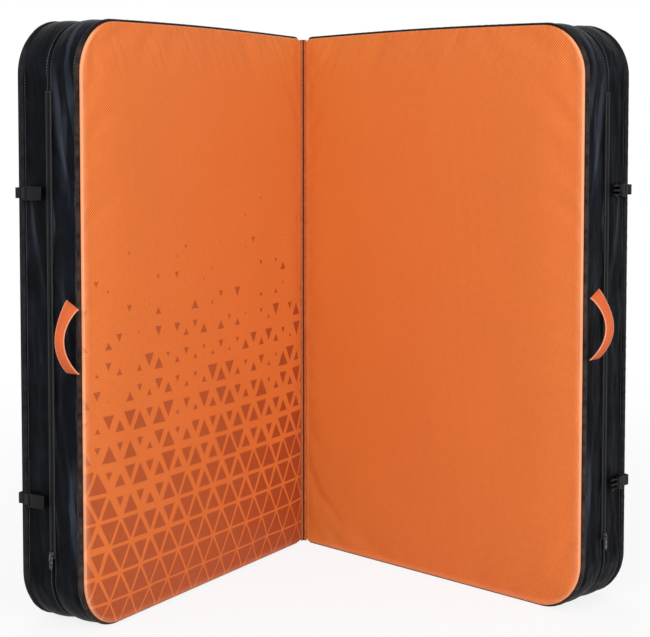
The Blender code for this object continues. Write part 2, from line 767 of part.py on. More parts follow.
def male_buckle(axis, side, place):
    """The prong half: a guide between two sprung arms with barbs that spread in the socket."""
    name = f"{SIDE_NAMES[side]}_buckle_prongs_{place}"
    frame = buckle_frame(name, axis, side, MALE_BLOCK)
    out = side * (BUCKLE_WALL / 2 - LOOP_RADIUS)
    base = -(BUCKLE_SLOT + MALE_BLOCK) + BUCKLE_BEVEL
    root = base - BUCKLE_BEVEL - PRONG_WIDTH
    tip = base - BUCKLE_BEVEL - PRONG_LENGTH
    outer = BUCKLE_WIDTH / 2 - BARB_WIDTH
    inner = outer - PRONG_WIDTH
    guide = GUIDE_WIDTH / 2
    half = [
        (tip, 0),
        (tip, guide),
        (root, guide),
        (root, inner),
        (tip, inner - PRONG_WIDTH / 2),
        (tip, inner + PRONG_WIDTH / 2),
        (tip + BARB_LENGTH, outer + BARB_WIDTH),
        (tip + BARB_LENGTH + PRONG_WIDTH / 2, outer),
        (base, outer),
    ]
    points = half + [(t, -z) for t, z in half[:0:-1]]
    data = plate(name + "_trident", [points], PRONG_WALL)
    prongs = as_mesh(add_object(name + "_trident", data, axis, (out, 0, 0), SIDEWAYS))
    boolean(frame, prongs, "UNION")
    add_material(frame, BLACK_PLASTIC)


def closure(half, side, place, height):
    """Anchor, swinging strap and buckle half at one height of a half's outer end."""
    closure_anchor(half, side, place, height)
    name = f"{SIDE_NAMES[side]}_closure_{place}"
    centre = (side * (HALF_WIDTH + STRAP_PIVOT_OUT), STRAP_PIVOT_T, height)
    pivot = new_axis(name + "_pivot", half, centre)
    closure_strap(pivot, side, place)
    rise = BAR_OUT - STRAP_PIVOT_OUT
    axis = new_axis(name + "_bar_axis", pivot, (side * rise, -STRAP_LENGTH, 0))
    if side == LEFT:
        female_buckle(axis, side, place)
    else:
        male_buckle(axis, side, place)


def strap_line(z):
    """How far the middle of a shoulder strap stands out from the back panel's crest at a height."""
    share = (SHOULDER_PAD_TOP - z) / (SHOULDER_PAD_TOP - LOWER_STRAP_FOOT)
    top = 2 * GAP + PATCH_WALL + SHOULDER_PAD_WALL / 2
    foot = 2 * GAP + PATCH_WALL + STRAP_WALL / 2
    arch = SHOULDER_PAD_ARCH * math.sin(math.pi * share) ** 2
    return top + (foot - top) * share + arch


def lofted(name, parent, section, places, finish):
    """A flat section carried through places, each a centre and the direction of its second axis."""
    shell = bmesh.new()
    face = None
    for (x, y, z), (normal_y, normal_z) in places:
        if face is None:
            corners = [shell.verts.new((0, 0, 0)) for _ in section]
            face = shell.faces.new(corners)
        else:
            face = bmesh.ops.extrude_discrete_faces(shell, faces=[face])["faces"][0]
        for corner, (across, over) in zip(face.verts, section):
            corner.co = (x + across, y + over * normal_y, z + over * normal_z)
    shell.faces.new(corners)
    bmesh.ops.recalc_face_normals(shell, faces=shell.faces)
    mesh = bpy.data.meshes.new(name)
    shell.to_mesh(mesh)
    shell.free()
    obj = add_object(name, mesh, parent)
    add_material(obj, finish)


def patch(name, half, centre_u, base, width, height):
    """A sewn square of webbing on the back panel of the left half."""
    centre = (-centre_u, BACK_CREST_T + GAP + PATCH_WALL / 2, base + height / 2)
    square = box(name, half, centre, (width, PATCH_WALL, height))
    bevel(square, PATCH_BEVEL, 1)
    add_material(square, BLACK_WEBBING)


def strap_slope(z):
    return (strap_line(z + GAP) - strap_line(z - GAP)) / (2 * GAP)


def shoulder_pad(half, place, top_u, foot_u):
    """A padded strap that arches out from the yoke to the ladder lock."""
    curve = SHOULDER_PAD_WALL / 2
    flat = SHOULDER_PAD_WIDTH / 2 - curve
    section = arc(flat, 0, curve, curve, -90, 90, PAD_PROFILE_STEPS)
    section += arc(-flat, 0, curve, curve, 90, 270, PAD_PROFILE_STEPS)
    places = []
    for step in range(SHOULDER_PAD_STEPS + 1):
        share = step / SHOULDER_PAD_STEPS
        z = SHOULDER_PAD_TOP + (SHOULDER_PAD_FOOT - SHOULDER_PAD_TOP) * share
        slope = strap_slope(z) if step else 0
        length = math.hypot(1, slope)
        u = top_u + (foot_u - top_u) * math.sin(math.radians(90) * share)
        centre = (-u, BACK_CREST_T + strap_line(z), z)
        places.append((centre, (1 / length, -slope / length)))
    lofted(f"shoulder_pad_{place}", half, section, places, BLACK_FABRIC)


def ladder_lock(axis, place, slot):
    """A frame of three bars with two slots, its upper bar on the axis."""
    half_width = LADDER_WIDTH / 2
    top = LADDER_BAR / 2
    low = top - LADDER_LENGTH
    frame = [(-half_width, low), (half_width, low), (half_width, top), (-half_width, top)]
    outlines = [frame]
    reach = half_width - LADDER_SIDE
    for start in (-top, -top - slot - LADDER_BAR):
        outlines.append([(-reach, start), (reach, start), (reach, start - slot), (-reach, start - slot)])
    name = f"ladder_lock_{place}"
    data = plate(name, outlines, LADDER_WALL)
    add_material(add_object(name, data, axis, (0, 0, 0), FACING), BLACK_PLASTIC)


def lock_holder(axis, place):
    """Webbing sewn to the pad's foot and folded round the lock's upper bar."""
    hole_t = LADDER_WALL / 2 + GAP
    hole_z = LADDER_BAR / 2 + GAP
    skin_t = hole_t + STRAP_WALL
    skin_z = hole_z + STRAP_WALL
    sewn = HOLDER_LENGTH + LADDER_BAR / 2
    loop = [
        (-skin_t, -skin_z),
        (skin_t, -skin_z),
        (skin_t, hole_z),
        (STRAP_WALL, sewn),
        (-STRAP_WALL, sewn),
        (-skin_t, hole_z),
    ]
    inside = [(-hole_t, -hole_z), (hole_t, -hole_z), (hole_t, hole_z), (-hole_t, hole_z)]
    name = f"ladder_lock_holder_{place}"
    data = plate(name, [loop, inside], WEBBING_WIDTH)
    add_material(add_object(name, data, axis, (0, 0, 0), SIDEWAYS), BLACK_WEBBING)


def shoulder_strap(half, place, way):
    """A padded strap from the yoke, its ladder lock, and the webbing below, doubled at the lock."""
    top_u = HARNESS_CENTRE + way * PAD_TOP_SPACING
    foot_u = HARNESS_CENTRE + way * PAD_FOOT_SPACING
    shoulder_pad(half, place, top_u, foot_u)
    lean = math.atan(strap_slope(SHOULDER_PAD_FOOT))
    along = HOLDER_LENGTH + GAP + LADDER_BAR / 2
    bar_z = SHOULDER_PAD_FOOT - along * math.cos(lean)
    bar_t = BACK_CREST_T + strap_line(SHOULDER_PAD_FOOT) - along * math.sin(lean)
    axis = new_axis(f"ladder_lock_{place}_axis", half, (-foot_u, bar_t, bar_z))
    axis.rotation_euler = (-lean, 0, 0)
    slot = (LADDER_LENGTH - 3 * LADDER_BAR) / 2
    ladder_lock(axis, place, slot)
    lock_holder(axis, place)
    lower_webbing(half, place, foot_u, (bar_t, bar_z, lean), slot)
    anchor = f"lower_anchor_{place}"
    patch(anchor, half, foot_u, LOWER_ANCHOR_BASE, LOWER_ANCHOR_WIDTH, LOWER_ANCHOR_HEIGHT)


def lower_webbing(half, place, foot_u, lock, slot):
    """Webbing from the lower anchor, up behind the lock, over its middle bar and down as a tail."""
    lock_t, lock_z, lean = lock

    def placed(out, up):
        t = lock_t + out * math.cos(lean) + up * math.sin(lean)
        return (t, lock_z - out * math.sin(lean) + up * math.cos(lean))

    clear = LADDER_WALL / 2 + GAP + STRAP_WALL / 2
    turn_up = -LADDER_BAR / 2 - slot + STRAP_WALL / 2 + GAP
    low_up = LADDER_BAR / 2 - LADDER_LENGTH - GAP
    back_run = [placed(-clear, low_up), placed(-clear, turn_up - clear)]
    turn = [placed(x, y) for x, y in arc(0, turn_up, clear, STRAP_WALL, 180, 0, TURN_STEPS)]
    front_run = [placed(clear, turn_up - clear), placed(clear, low_up - TAIL_LENGTH)]
    start_t = BACK_CREST_T + 2 * GAP + PATCH_WALL + STRAP_WALL / 2
    rise = []
    end_t, end_z = back_run[0]
    for step in range(LOWER_STRAP_STEPS):
        share = step / LOWER_STRAP_STEPS
        z = LOWER_STRAP_FOOT + (end_z - LOWER_STRAP_FOOT) * share
        eased = share * share * (2 - share)
        rise.append((start_t + (end_t - start_t) * eased, z))
    middle = rise + back_run + turn + front_run
    name = f"lower_webbing_{place}"
    data = plate(name, [thickened(middle, STRAP_WALL)], WEBBING_WIDTH)
    add_material(add_object(name, data, half, (-foot_u, 0, 0), SIDEWAYS), BLACK_WEBBING)


def harness(half):
    """The yoke and the two shoulder straps on the back of the left half."""
    patch("harness_yoke", half, HARNESS_CENTRE, YOKE_BASE, YOKE_WIDTH, YOKE_HEIGHT)
    for place, way in (("inner", -1), ("outer", 1)):
        shoulder_strap(half, place, way)


def build():
    for side in (LEFT, RIGHT):
        half = new_axis(f"{SIDE_NAMES[side]}_half", None, (0, FOLD_Y, 0))
        half.rotation_euler = (0, 0, -side * (math.radians(90) - OPENING_ANGLE / 2))
        cushion(half, side)
        carry_handle(half, side)
        zip_fastener(half, side)
        closure(half, side, "upper", CLOSURE_UPPER)
        closure(half, side, "lower", CLOSURE_LOWER)
        if side == LEFT:
            fold_seam(half)
            harness(half)


clear_scene()
parts = new_collection("bouldering_crash_pad")
cutters = new_collection("cutters")
build()
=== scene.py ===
"""A folding crash pad for bouldering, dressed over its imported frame.

Lengths are in metres. A half's own axes are u, from the fold to the outer end, t, from the landing
face to the back, and z, which goes up. Pieces are modelled upright in those axes and then set into
the frame, so both halves come from the same methods.
"""

import json
import logging
import math
from collections.abc import Iterator, Mapping, Sequence
from contextlib import contextmanager
from dataclasses import dataclass, field, replace
from enum import Enum
from typing import ClassVar

import bpy
import numpy as np
from mathutils import Matrix, Vector, noise


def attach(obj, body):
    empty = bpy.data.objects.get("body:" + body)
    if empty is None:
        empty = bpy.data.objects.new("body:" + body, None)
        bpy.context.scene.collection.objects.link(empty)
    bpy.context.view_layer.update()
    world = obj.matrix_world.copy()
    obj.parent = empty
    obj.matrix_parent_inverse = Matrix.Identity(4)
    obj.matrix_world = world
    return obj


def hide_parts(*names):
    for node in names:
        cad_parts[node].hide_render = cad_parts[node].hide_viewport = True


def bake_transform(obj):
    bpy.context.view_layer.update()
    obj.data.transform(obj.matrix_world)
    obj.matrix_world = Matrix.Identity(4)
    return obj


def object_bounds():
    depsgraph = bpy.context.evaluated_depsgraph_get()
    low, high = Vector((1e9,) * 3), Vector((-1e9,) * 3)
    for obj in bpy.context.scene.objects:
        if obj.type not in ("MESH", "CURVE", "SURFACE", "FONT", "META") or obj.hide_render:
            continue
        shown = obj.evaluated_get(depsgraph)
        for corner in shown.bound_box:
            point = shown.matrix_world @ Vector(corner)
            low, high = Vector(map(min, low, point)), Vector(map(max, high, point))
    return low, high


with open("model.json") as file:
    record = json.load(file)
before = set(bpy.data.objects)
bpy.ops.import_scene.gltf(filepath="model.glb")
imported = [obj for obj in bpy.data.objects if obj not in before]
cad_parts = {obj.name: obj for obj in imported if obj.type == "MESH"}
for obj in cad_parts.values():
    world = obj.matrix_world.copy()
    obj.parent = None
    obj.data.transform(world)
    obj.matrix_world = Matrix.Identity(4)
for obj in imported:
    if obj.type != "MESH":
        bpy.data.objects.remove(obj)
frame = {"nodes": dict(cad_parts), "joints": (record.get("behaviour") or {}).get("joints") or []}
CAD_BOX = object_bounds()

LOG = logging.getLogger("crash_pad")

Colour = tuple[float, float, float, float]
Pair = tuple[float, float]
Triple = tuple[float, float, float]
Row = list[Vector]
Piece = bpy.types.Object
Material = bpy.types.Material
Socket = bpy.types.NodeSocket
Tree = bpy.types.NodeTree

MILLIMETRE = 0.001
WELD = MILLIMETRE / 200
QUARTER = math.radians(90)
HALF_TURN = math.radians(180)
FULL_TURN = math.radians(360)


class Side(Enum):
    """The two halves, with the sign of x that each lies on."""

    LEFT = -1
    RIGHT = 1

    @property
    def label(self) -> str:
        """The word that starts the names of the half's nodes and pieces."""
        return self.name.lower()


class Place(Enum):
    """The two heights at which the halves close."""

    UPPER = "upper"
    LOWER = "lower"


class Strip(Enum):
    """The two strips of a side band, which the zip divides."""

    FRONT = "front"
    BACK = "back"


def joint(name: str) -> dict:
    """Find the facts of a joint of the frame by its name."""
    return next(facts for facts in frame["joints"] if facts["name"] == name)


@dataclass(frozen=True)
class Half:
    """One cushion's place in the frame, with its own axes u, t and z."""

    side: Side
    hinge: Vector
    along: Vector
    inward: Vector

    @classmethod
    def from_frame(cls, side: Side) -> "Half":
        """Read a half's axes from the joints of the frame.

        Args:
            side: Which half.

        Returns:
            The half, with u along its width and t through its thickness.
        """
        pivot = Vector(joint("fold")["pos_m"])
        turn = Vector(joint(f"{side.label}_puller_swing")["axis"])
        inward = (-side.value * turn).normalized()
        along = side.value * Vector((inward.y, -inward.x, 0))
        return cls(side, Vector((pivot.x, pivot.y, 0)), along, inward)

    @property
    def body(self) -> str:
        """The body that the cushion itself belongs to."""
        return f"{self.side.label}_half"

    @property
    def matrix(self) -> Matrix:
        """The transform from the half's axes to the frame."""
        axes = Matrix((self.along, self.inward, Vector((0, 0, 1)))).transposed()
        return Matrix.Translation(self.hinge) @ axes.to_4x4()

    @property
    def shut_lean(self) -> float:
        """The angle between the half and the plane midway between both, with the pad shut."""
        lean = math.atan2(abs(self.along.x), -self.along.y)
        return lean + math.radians(joint("fold")["range_deg"][0]) / 2

    def named(self, part: str) -> str:
        """The name of this half's node or piece of that kind."""
        return f"{self.side.label}_{part}"

    def node(self, part: str) -> Piece:
        """The half's node of that kind, or the node of that whole name."""
        return frame["nodes"].get(self.named(part)) or frame["nodes"][part]

    def span(self, part: str) -> tuple[Vector, Vector]:
        """Measure one of the half's nodes along the half's own axes.

        Args:
            part: The node's name without its side, or a whole name.

        Returns:
            The node's lowest and highest corner in u, t and z.
        """
        back = self.matrix.inverted()
        places = [back @ corner.co for corner in self.node(part).data.vertices]
        low = Vector(min(place[axis] for place in places) for axis in range(3))
        high = Vector(max(place[axis] for place in places) for axis in range(3))
        return low, high

    def settle(self, piece: Piece) -> None:
        """Move a piece's mesh from the half's axes into the frame, with its faces outwards.

        Args:
            piece: The piece.
        """
        piece.data.transform(self.matrix)
        if self.matrix.determinant() < 0:
            piece.data.flip_normals()
        piece.data.update()


@dataclass(frozen=True)
class Outline:
    """A half's rim, seen from its landing side: a box with rounded corners and a bowed top."""

    u_low: float
    u_high: float
    z_low: float
    z_high: float
    fold_corner: float = 0.003
    outer_corner: float = 0.085
    bow: float = 0.004

    @classmethod
    def of(cls, low: Vector, high: Vector) -> "Outline":
        """The rim that fills a node's box, with room for the bow at its top."""
        return cls(low.x, high.x, low.z, high.z - cls.bow)

    def inset(self, distance: float) -> "Outline":
        """Move the rim inwards.

        Args:
            distance: How far.

        Returns:
            The smaller rim.
        """
        return replace(
            self,
            u_low=self.u_low + distance,
            u_high=self.u_high - distance,
            z_low=self.z_low + distance,
            z_high=self.z_high - distance,
            fold_corner=max(self.fold_corner - distance, MILLIMETRE),
            outer_corner=max(self.outer_corner - distance, MILLIMETRE),
        )

    def bowed(self, u: float, z: float) -> float:
        """Find a point's height once the top edge is bowed.

        Args:
            u: The point's place across the half.
            z: Its height before.

        Returns:
            Its height after.
        """
        share = (u - self.u_low) / (self.u_high - self.u_low)
        rise = (z - self.z_low) / (self.z_high - self.z_low)
        return z + self.bow * rise * math.sin(HALF_TURN * min(max(share, 0), 1))

    def fitted(self, u: float, z: float) -> Pair:
        """Move a point of the plain box to its place inside the rounded rim.

        Args:
            u: The point's place across the half.
            z: The point's height.

        Returns:
            The place across and the height, with the corners drawn in to arcs.
        """
        outer = u > (self.u_low + self.u_high) / 2
        radius = self.outer_corner if outer else self.fold_corner
        centre_u = self.u_high - radius if outer else self.u_low + radius
        upper = z > (self.z_low + self.z_high) / 2
        centre_z = self.z_high - radius if upper else self.z_low + radius
        share_u = (u - centre_u) / radius * (1 if outer else -1)
        share_z = (z - centre_z) / radius * (1 if upper else -1)
        if share_u > 0 and share_z > 0:
            drawn_u = share_u * math.sqrt(1 - share_z ** 2 / 2)
            drawn_z = share_z * math.sqrt(1 - share_u ** 2 / 2)
            u = centre_u + radius * drawn_u * (1 if outer else -1)
            z = centre_z + radius * drawn_z * (1 if upper else -1)
        return u, self.bowed(u, z)

    def walk(self, spacing: float) -> list[tuple[float, float, float, float]]:
        """Walk once round the rim, anticlockwise from the middle of its lower edge.

        Args:
            spacing: About how far apart the points are.

        Returns:
            Points as place across, height, and the two parts of the outward direction.
        """
        corners = (
            (self.u_high, self.z_high, self.outer_corner),
            (self.u_low, self.z_high, self.fold_corner),
            (self.u_low, self.z_low, self.fold_corner),
            (self.u_high, self.z_low, self.outer_corner),
        )
        arcs = []
        for quarter, (corner_u, corner_z, radius) in enumerate(corners):
            centre_u = corner_u - radius if corner_u == self.u_high else corner_u + radius
            centre_z = corner_z - radius if corner_z == self.z_high else corner_z + radius
            steps = max(4, round(QUARTER * radius / spacing))
            run = []
            for step in range(steps + 1):
                angle = QUARTER * (quarter + step / steps)
                across, up = math.cos(angle), math.sin(angle)
                run.append((centre_u + radius * across, centre_z + radius * up, across, up))
            arcs.append(run)
        points = []
        for run, following in zip(arcs, arcs[1:] + arcs[:1]):
            points.extend(run)
            start, end = run[-1], following[0]
            count = max(1, round(math.dist(start[:2], end[:2]) / spacing))
            for step in range(1, count):
                points.append(tuple(a + (b - a) * step / count for a, b in zip(start, end)))
        middle = (self.u_low + self.u_high) / 2
        floor = self.z_low + MILLIMETRE / 100
        lowest = [index for index, point in enumerate(points) if point[1] < floor]
        first = min(lowest, key=lambda index: abs(points[index][0] - middle))
        points = points[first:] + points[:first]
        return [(u, self.bowed(u, z), across, up) for u, z, across, up in points]


def select_only(piece: Piece) -> None:
    """Select one object and make it active.

    Args:
        piece: The object.
    """
    bpy.ops.object.select_all(action="DESELECT")
    piece.select_set(True)
    bpy.context.view_layer.objects.active = piece


@contextmanager
def edit_mode(piece: Piece) -> Iterator[None]:
    """Work on one piece in edit mode, with its whole mesh selected at the start.

    Args:
        piece: The piece.

    Yields:
        Nothing, while edit mode lasts.
    """
    select_only(piece)
    bpy.ops.object.mode_set(mode="EDIT")
    bpy.ops.mesh.select_all(action="SELECT")
    yield
    bpy.ops.object.mode_set(mode="OBJECT")


def modify(piece: Piece, name: str, kind: str, **settings: object) -> None:
    """Give a piece a modifier.

    Args:
        piece: The piece.
        name: The modifier's name.
        kind: Its type.
        settings: Its properties, by name.
    """
    modifier = piece.modifiers.new(name, kind)
    for setting, value in settings.items():
        setattr(modifier, setting, value)


def soften_edges(piece: Piece, width: float, sharper: float) -> None:
    """Round a piece's sharp edges, once its modifiers are applied.

    Args:
        piece: The piece.
        width: How far its edges are rounded.
        sharper: The angle in degrees past which an edge is sharp.
    """
    modify(piece, "soft_edges", "BEVEL", width=width, segments=2, limit_method="ANGLE",
           angle_limit=math.radians(sharper))


def apply_modifiers(piece: Piece) -> None:
    """Apply all of a piece's modifiers, in their order.

    Args:
        piece: The piece.
    """
    select_only(piece)
    for modifier in list(piece.modifiers):
        bpy.ops.object.modifier_apply(modifier=modifier.name)


def refine(piece: Piece) -> None:
    """Subdivide a piece once, smoothly, and keep the result in its mesh.

    Args:
        piece: The piece.
    """
    modify(piece, "finer", "SUBSURF", levels=1, render_levels=1)
    apply_modifiers(piece)
    piece.data.shade_smooth()


def keep_above_floor(piece: Piece) -> None:
    """Raise each point of a piece that lies below the floor."""
    for corner in piece.data.vertices:
        corner.co.z = max(corner.co.z, 0.0)


def add_object(name: str, data: bpy.types.ID) -> Piece:
    """Put a new object into the scene.

    Args:
        name: The object's name.
        data: Its mesh, light or camera.

    Returns:
        The new object.
    """
    added = bpy.data.objects.new(name, data)
    bpy.context.scene.collection.objects.link(added)
    return added


def add_mesh(name: str, points: Sequence[Vector], faces: Sequence[Sequence[int]]) -> Piece:
    """Make a smooth piece from points and faces.

    Args:
        name: The piece's name.
        points: Its points.
        faces: Its faces, each as numbers of its points.

    Returns:
        The new piece.
    """
    mesh = bpy.data.meshes.new(name)
    mesh.from_pydata([tuple(point) for point in points], [], [tuple(face) for face in faces])
    mesh.shade_smooth()
    return add_object(name, mesh)


def lay_out(piece: Piece, pattern: Sequence[Pair]) -> None:
    """Lay out a piece's cloth.

    Args:
        piece: The piece.
        pattern: Where each face corner lies on the flat cloth, in metres, face by face.
    """
    layer = piece.data.uv_layers.active or piece.data.uv_layers.new()
    layer.name = "cloth"
    layer.data.foreach_set("uv", [value for place in pattern for value in place])


def lattice(name: str, rows: Sequence[Row], places: Sequence[Sequence[Pair]], closed: bool) -> Piece:
    """Make a soft sheet from rows of points.

    Args:
        name: The piece's name.
        rows: Equally long rows of points.
        places: Where each point lies on the flat cloth. Closed rows have one place more.
        closed: Whether each row joins up with its own start.

    Returns:
        The new piece, whose faces look to the left of a row's run, seen from the next row.
    """
    count = len(rows[0])
    faces = []
    pattern = []
    for index in range(len(rows) - 1):
        for step in range(count if closed else count - 1):
            after = (step + 1) % count
            faces.append((index * count + step, index * count + after,
                          (index + 1) * count + after, (index + 1) * count + step))
            pattern.extend((places[index][step], places[index][step + 1],
                            places[index + 1][step + 1], places[index + 1][step]))
    piece = add_mesh(name, [point for row in rows for point in row], faces)
    lay_out(piece, pattern)
    return piece


def add_attribute(piece: Piece, name: str, values: Sequence[float]) -> None:
    """Store one number for each point of a piece, for its material to read."""
    attribute = piece.data.attributes.new(name, "FLOAT", "POINT")
    attribute.data.foreach_set("value", list(values))


def add_pins(piece: Piece, weights: Sequence[float]) -> None:
    """Store how firmly each point of a piece is held while its cloth settles.

    Args:
        piece: The piece.
        weights: One number for each point, from 0 for free to 1 for held.
    """
    group = piece.vertex_groups.new(name="pins")
    for index, weight in enumerate(weights):
        group.add([index], weight, "REPLACE")


@dataclass(frozen=True)
class Settling:
    """How stretched cloth settles over what fills it.

    pressure pushes it out, growth is the share of spare cloth that wrinkles, and cap is as far as a
    point may move.
    """

    pressure: float
    growth: float
    cap: float
    frames: int = 20
    mass: float = 0.15
    tension: float = 12.0
    shear: float = 6.0
    bending: float = 0.4
    quality: int = 4

    def run(self, piece: Piece) -> None:
        """Let a piece's cloth settle, held by its pins, and keep the result in its mesh.

        Args:
            piece: The piece.
        """
        start = np.empty(len(piece.data.vertices) * 3)
        piece.data.vertices.foreach_get("co", start)
        cloth = piece.modifiers.new("settling", "CLOTH")
        settings = cloth.settings
        settings.quality = self.quality
        settings.mass = self.mass
        settings.tension_stiffness = self.tension
        settings.compression_stiffness = self.tension
        settings.shear_stiffness = self.shear
        settings.bending_stiffness = self.bending
        settings.vertex_group_mass = "pins"
        settings.use_pressure = True
        settings.uniform_pressure_force = self.pressure
        settings.shrink_min = -self.growth
        settings.effector_weights.gravity = 0
        cloth.point_cache.frame_end = self.frames
        scene = bpy.context.scene
        for step in range(1, self.frames + 1):
            scene.frame_set(step)
        apply_modifiers(piece)
        scene.frame_set(1)
        self.limit(piece, start.reshape(-1, 3))

    def limit(self, piece: Piece, start: np.ndarray) -> None:
        """Draw back each point that moved further than the cap.

        Args:
            piece: The settled piece.
            start: Its points before it settled.
        """
        moved = np.empty(start.size)
        piece.data.vertices.foreach_get("co", moved)
        steps = moved.reshape(-1, 3) - start
        lengths = np.linalg.norm(steps, axis=1, keepdims=True)
        kept = self.cap * np.tanh(lengths / self.cap) / np.maximum(lengths, 1e-9)
        piece.data.vertices.foreach_set("co", (start + steps * kept).ravel())
        piece.data.update()


class Paint:
    """The wiring of one material, world or node group."""

    def __init__(self, tree: Tree) -> None:
        """Start wiring a node tree."""
        self.tree = tree

    def feed(self, socket: Socket, source: object) -> None:
        """Link a socket to another, or set it to a plain value.

        Args:
            socket: The socket that is fed.
            source: What feeds it.
        """
        if isinstance(source, Socket):
            self.tree.links.new(source, socket)
        else:
            socket.default_value = source

    def node(self, kind: str, sources: Mapping[int | str, object] | None = None,
             **settings: object) -> bpy.types.Node:
        """Add a node.

        Args:
            kind: The node's type.
            sources: What feeds its inputs, by name or number.
            settings: Its properties, by name.

        Returns:
            The new node.
        """
        added = self.tree.nodes.new(kind)
        for name, value in settings.items():
            setattr(added, name, value)
        for name, source in (sources or {}).items():
            self.feed(added.inputs[name], source)
        return added

    def math(self, operation: str, *sources: object, clamp: bool = False) -> Socket:
        """Add a Math node and give its result.

        Args:
            operation: What it does.
            sources: Its inputs, as sockets or numbers.
            clamp: Whether the result stays between 0 and 1.

        Returns:
            Its result.
        """
        inputs = dict(enumerate(sources))
        return self.node("ShaderNodeMath", inputs, operation=operation, use_clamp=clamp).outputs[0]

    def plus(self, first: object, second: object, clamp: bool = False) -> Socket:
        """Add two numbers."""
        return self.math("ADD", first, second, clamp=clamp)

    def minus(self, first: object, second: object) -> Socket:
        """Take the second number from the first."""
        return self.math("SUBTRACT", first, second)

    def times(self, first: object, second: object) -> Socket:
        """Multiply two numbers."""
        return self.math("MULTIPLY", first, second)

    def gap(self, first: object, second: object) -> Socket:
        """How far two numbers are apart."""
        return self.math("ABSOLUTE", self.minus(first, second))

    def ramp(self, value: object, start: float, end: float, low: float = 0.0,
             high: float = 1.0) -> Socket:
        """Turn a value smoothly from low to high while it goes from start to end.

        Args:
            value: The value, as a socket.
            start: Where the turn starts.
            end: Where it ends.
            low: The result before it.
            high: The result after it.

        Returns:
            The turned value.
        """
        sources = {"Value": value, "From Min": start, "From Max": end, "To Min": low, "To Max": high}
        turned = self.node("ShaderNodeMapRange", sources, interpolation_type="SMOOTHSTEP")
        return turned.outputs["Result"]

    def mix(self, share: object, first: object, second: object, blend: str = "MIX") -> Socket:
        """Mix two colours.

        Args:
            share: How much of the second colour, from 0 to 1.
            first: The first colour.
            second: The second colour.
            blend: How they mix.

        Returns:
            The mixed colour.
        """
        sources = {0: share, 6: first, 7: second}
        return self.node("ShaderNodeMix", sources, data_type="RGBA", blend_type=blend).outputs[2]

    def tinted(self, colour: object, shade: object) -> Socket:
        """Multiply a colour by a shade."""
        return self.mix(1.0, colour, shade, "MULTIPLY")

    def noise(self, place: Socket, scale: object, detail: float = 3.0) -> Socket:
        """Add cloudy noise.

        Args:
            place: The place that it reads.
            scale: How fine it is.
            detail: How many finer layers it has.

        Returns:
            Its value, from 0 to 1.
        """
        sources = {"Vector": place, "Scale": scale, "Detail": detail}
        return self.node("ShaderNodeTexNoise", sources).outputs[0]

    def streaks(self, place: Socket, slant: float, stretch: float, scale: float,
                detail: float) -> Socket:
        """Add noise that is drawn out into streaks.

        Args:
            place: The place that it reads.
            slant: How far the streaks lean.
            stretch: How many times longer than wide they are.
            scale: How fine the noise is.
            detail: How many finer layers it has.

        Returns:
            Its value, from 0 to 1.
        """
        sources = {"Vector": place, "Rotation": (0, 0, slant), "Scale": (1.0, stretch, 1.0)}
        drawn = self.node("ShaderNodeMapping", sources, vector_type="TEXTURE")
        return self.noise(drawn.outputs[0], scale, detail)

    def parts(self, vector: Socket) -> list[Socket]:
        """The three parts of a vector."""
        return list(self.node("ShaderNodeSeparateXYZ", {0: vector}).outputs)

    def object_place(self) -> Socket:
        """The point's own place in the frame."""
        return self.node("ShaderNodeTexCoord").outputs["Object"]

    def cloth_place(self) -> Socket:
        """The point's place on the flat cloth, in metres."""
        return self.node("ShaderNodeUVMap", uv_map="cloth").outputs["UV"]

    def attribute(self, name: str) -> Socket:
        """The number that the piece stores for the point under a name."""
        return self.node("ShaderNodeAttribute", attribute_name=name).outputs["Fac"]

    def group(self, tree: Tree, **sources: object) -> Mapping[str, Socket]:
        """Add a node group, with its inputs by name, and give its outputs by name."""
        return self.node("ShaderNodeGroup", sources, node_tree=tree).outputs


def new_group(name: str, inputs: Sequence[tuple[str, str, object]],
              outputs: Sequence[tuple[str, str]]) -> tuple[Paint, dict, dict]:
    """Start a shader node group.

    Args:
        name: The group's name.
        inputs: Each input's name, kind and value.
        outputs: Each output's name and kind.

    Returns:
        The wiring, the sockets to read from and the sockets to feed.
    """
    tree = bpy.data.node_groups.new(name, "ShaderNodeTree")
    for label, kind, value in inputs:
        socket = tree.interface.new_socket(label, in_out="INPUT", socket_type=f"NodeSocket{kind}")
        if value is not None:
            socket.default_value = value
    for label, kind in outputs:
        tree.interface.new_socket(label, in_out="OUTPUT", socket_type=f"NodeSocket{kind}")
    paint = Paint(tree)
    read = paint.node("NodeGroupInput").outputs
    fill = paint.node("NodeGroupOutput").inputs
    return paint, {socket.name: socket for socket in read}, {socket.name: socket for socket in fill}


def woven_group() -> Tree:
    """Build the fine diagonal weave of coated nylon.

    Returns:
        The group: it reads a place in metres and puts out a height and a shade, from 0 to 1.
    """
    paint, read, fill = new_group(
        "diagonal_weave",
        (("Place", "Vector", None), ("Threads", "Float", 230.0), ("Slub", "Float", 0.3)),
        (("Height", "Float"), ("Shade", "Float")),
    )
    across, along, _ = paint.parts(read["Place"])
    waves = [paint.math("SINE", paint.times(paint.times(diagonal, read["Threads"]), HALF_TURN))
             for diagonal in (paint.plus(across, along), paint.minus(across, along))]
    knots = paint.math("ABSOLUTE", paint.times(*waves))
    slubs = paint.times(paint.noise(read["Place"], 90.0, 2.0), read["Slub"])
    paint.feed(fill["Height"], knots)
    paint.feed(fill["Shade"], paint.plus(paint.times(knots, 0.8), slubs, clamp=True))
    return paint.tree


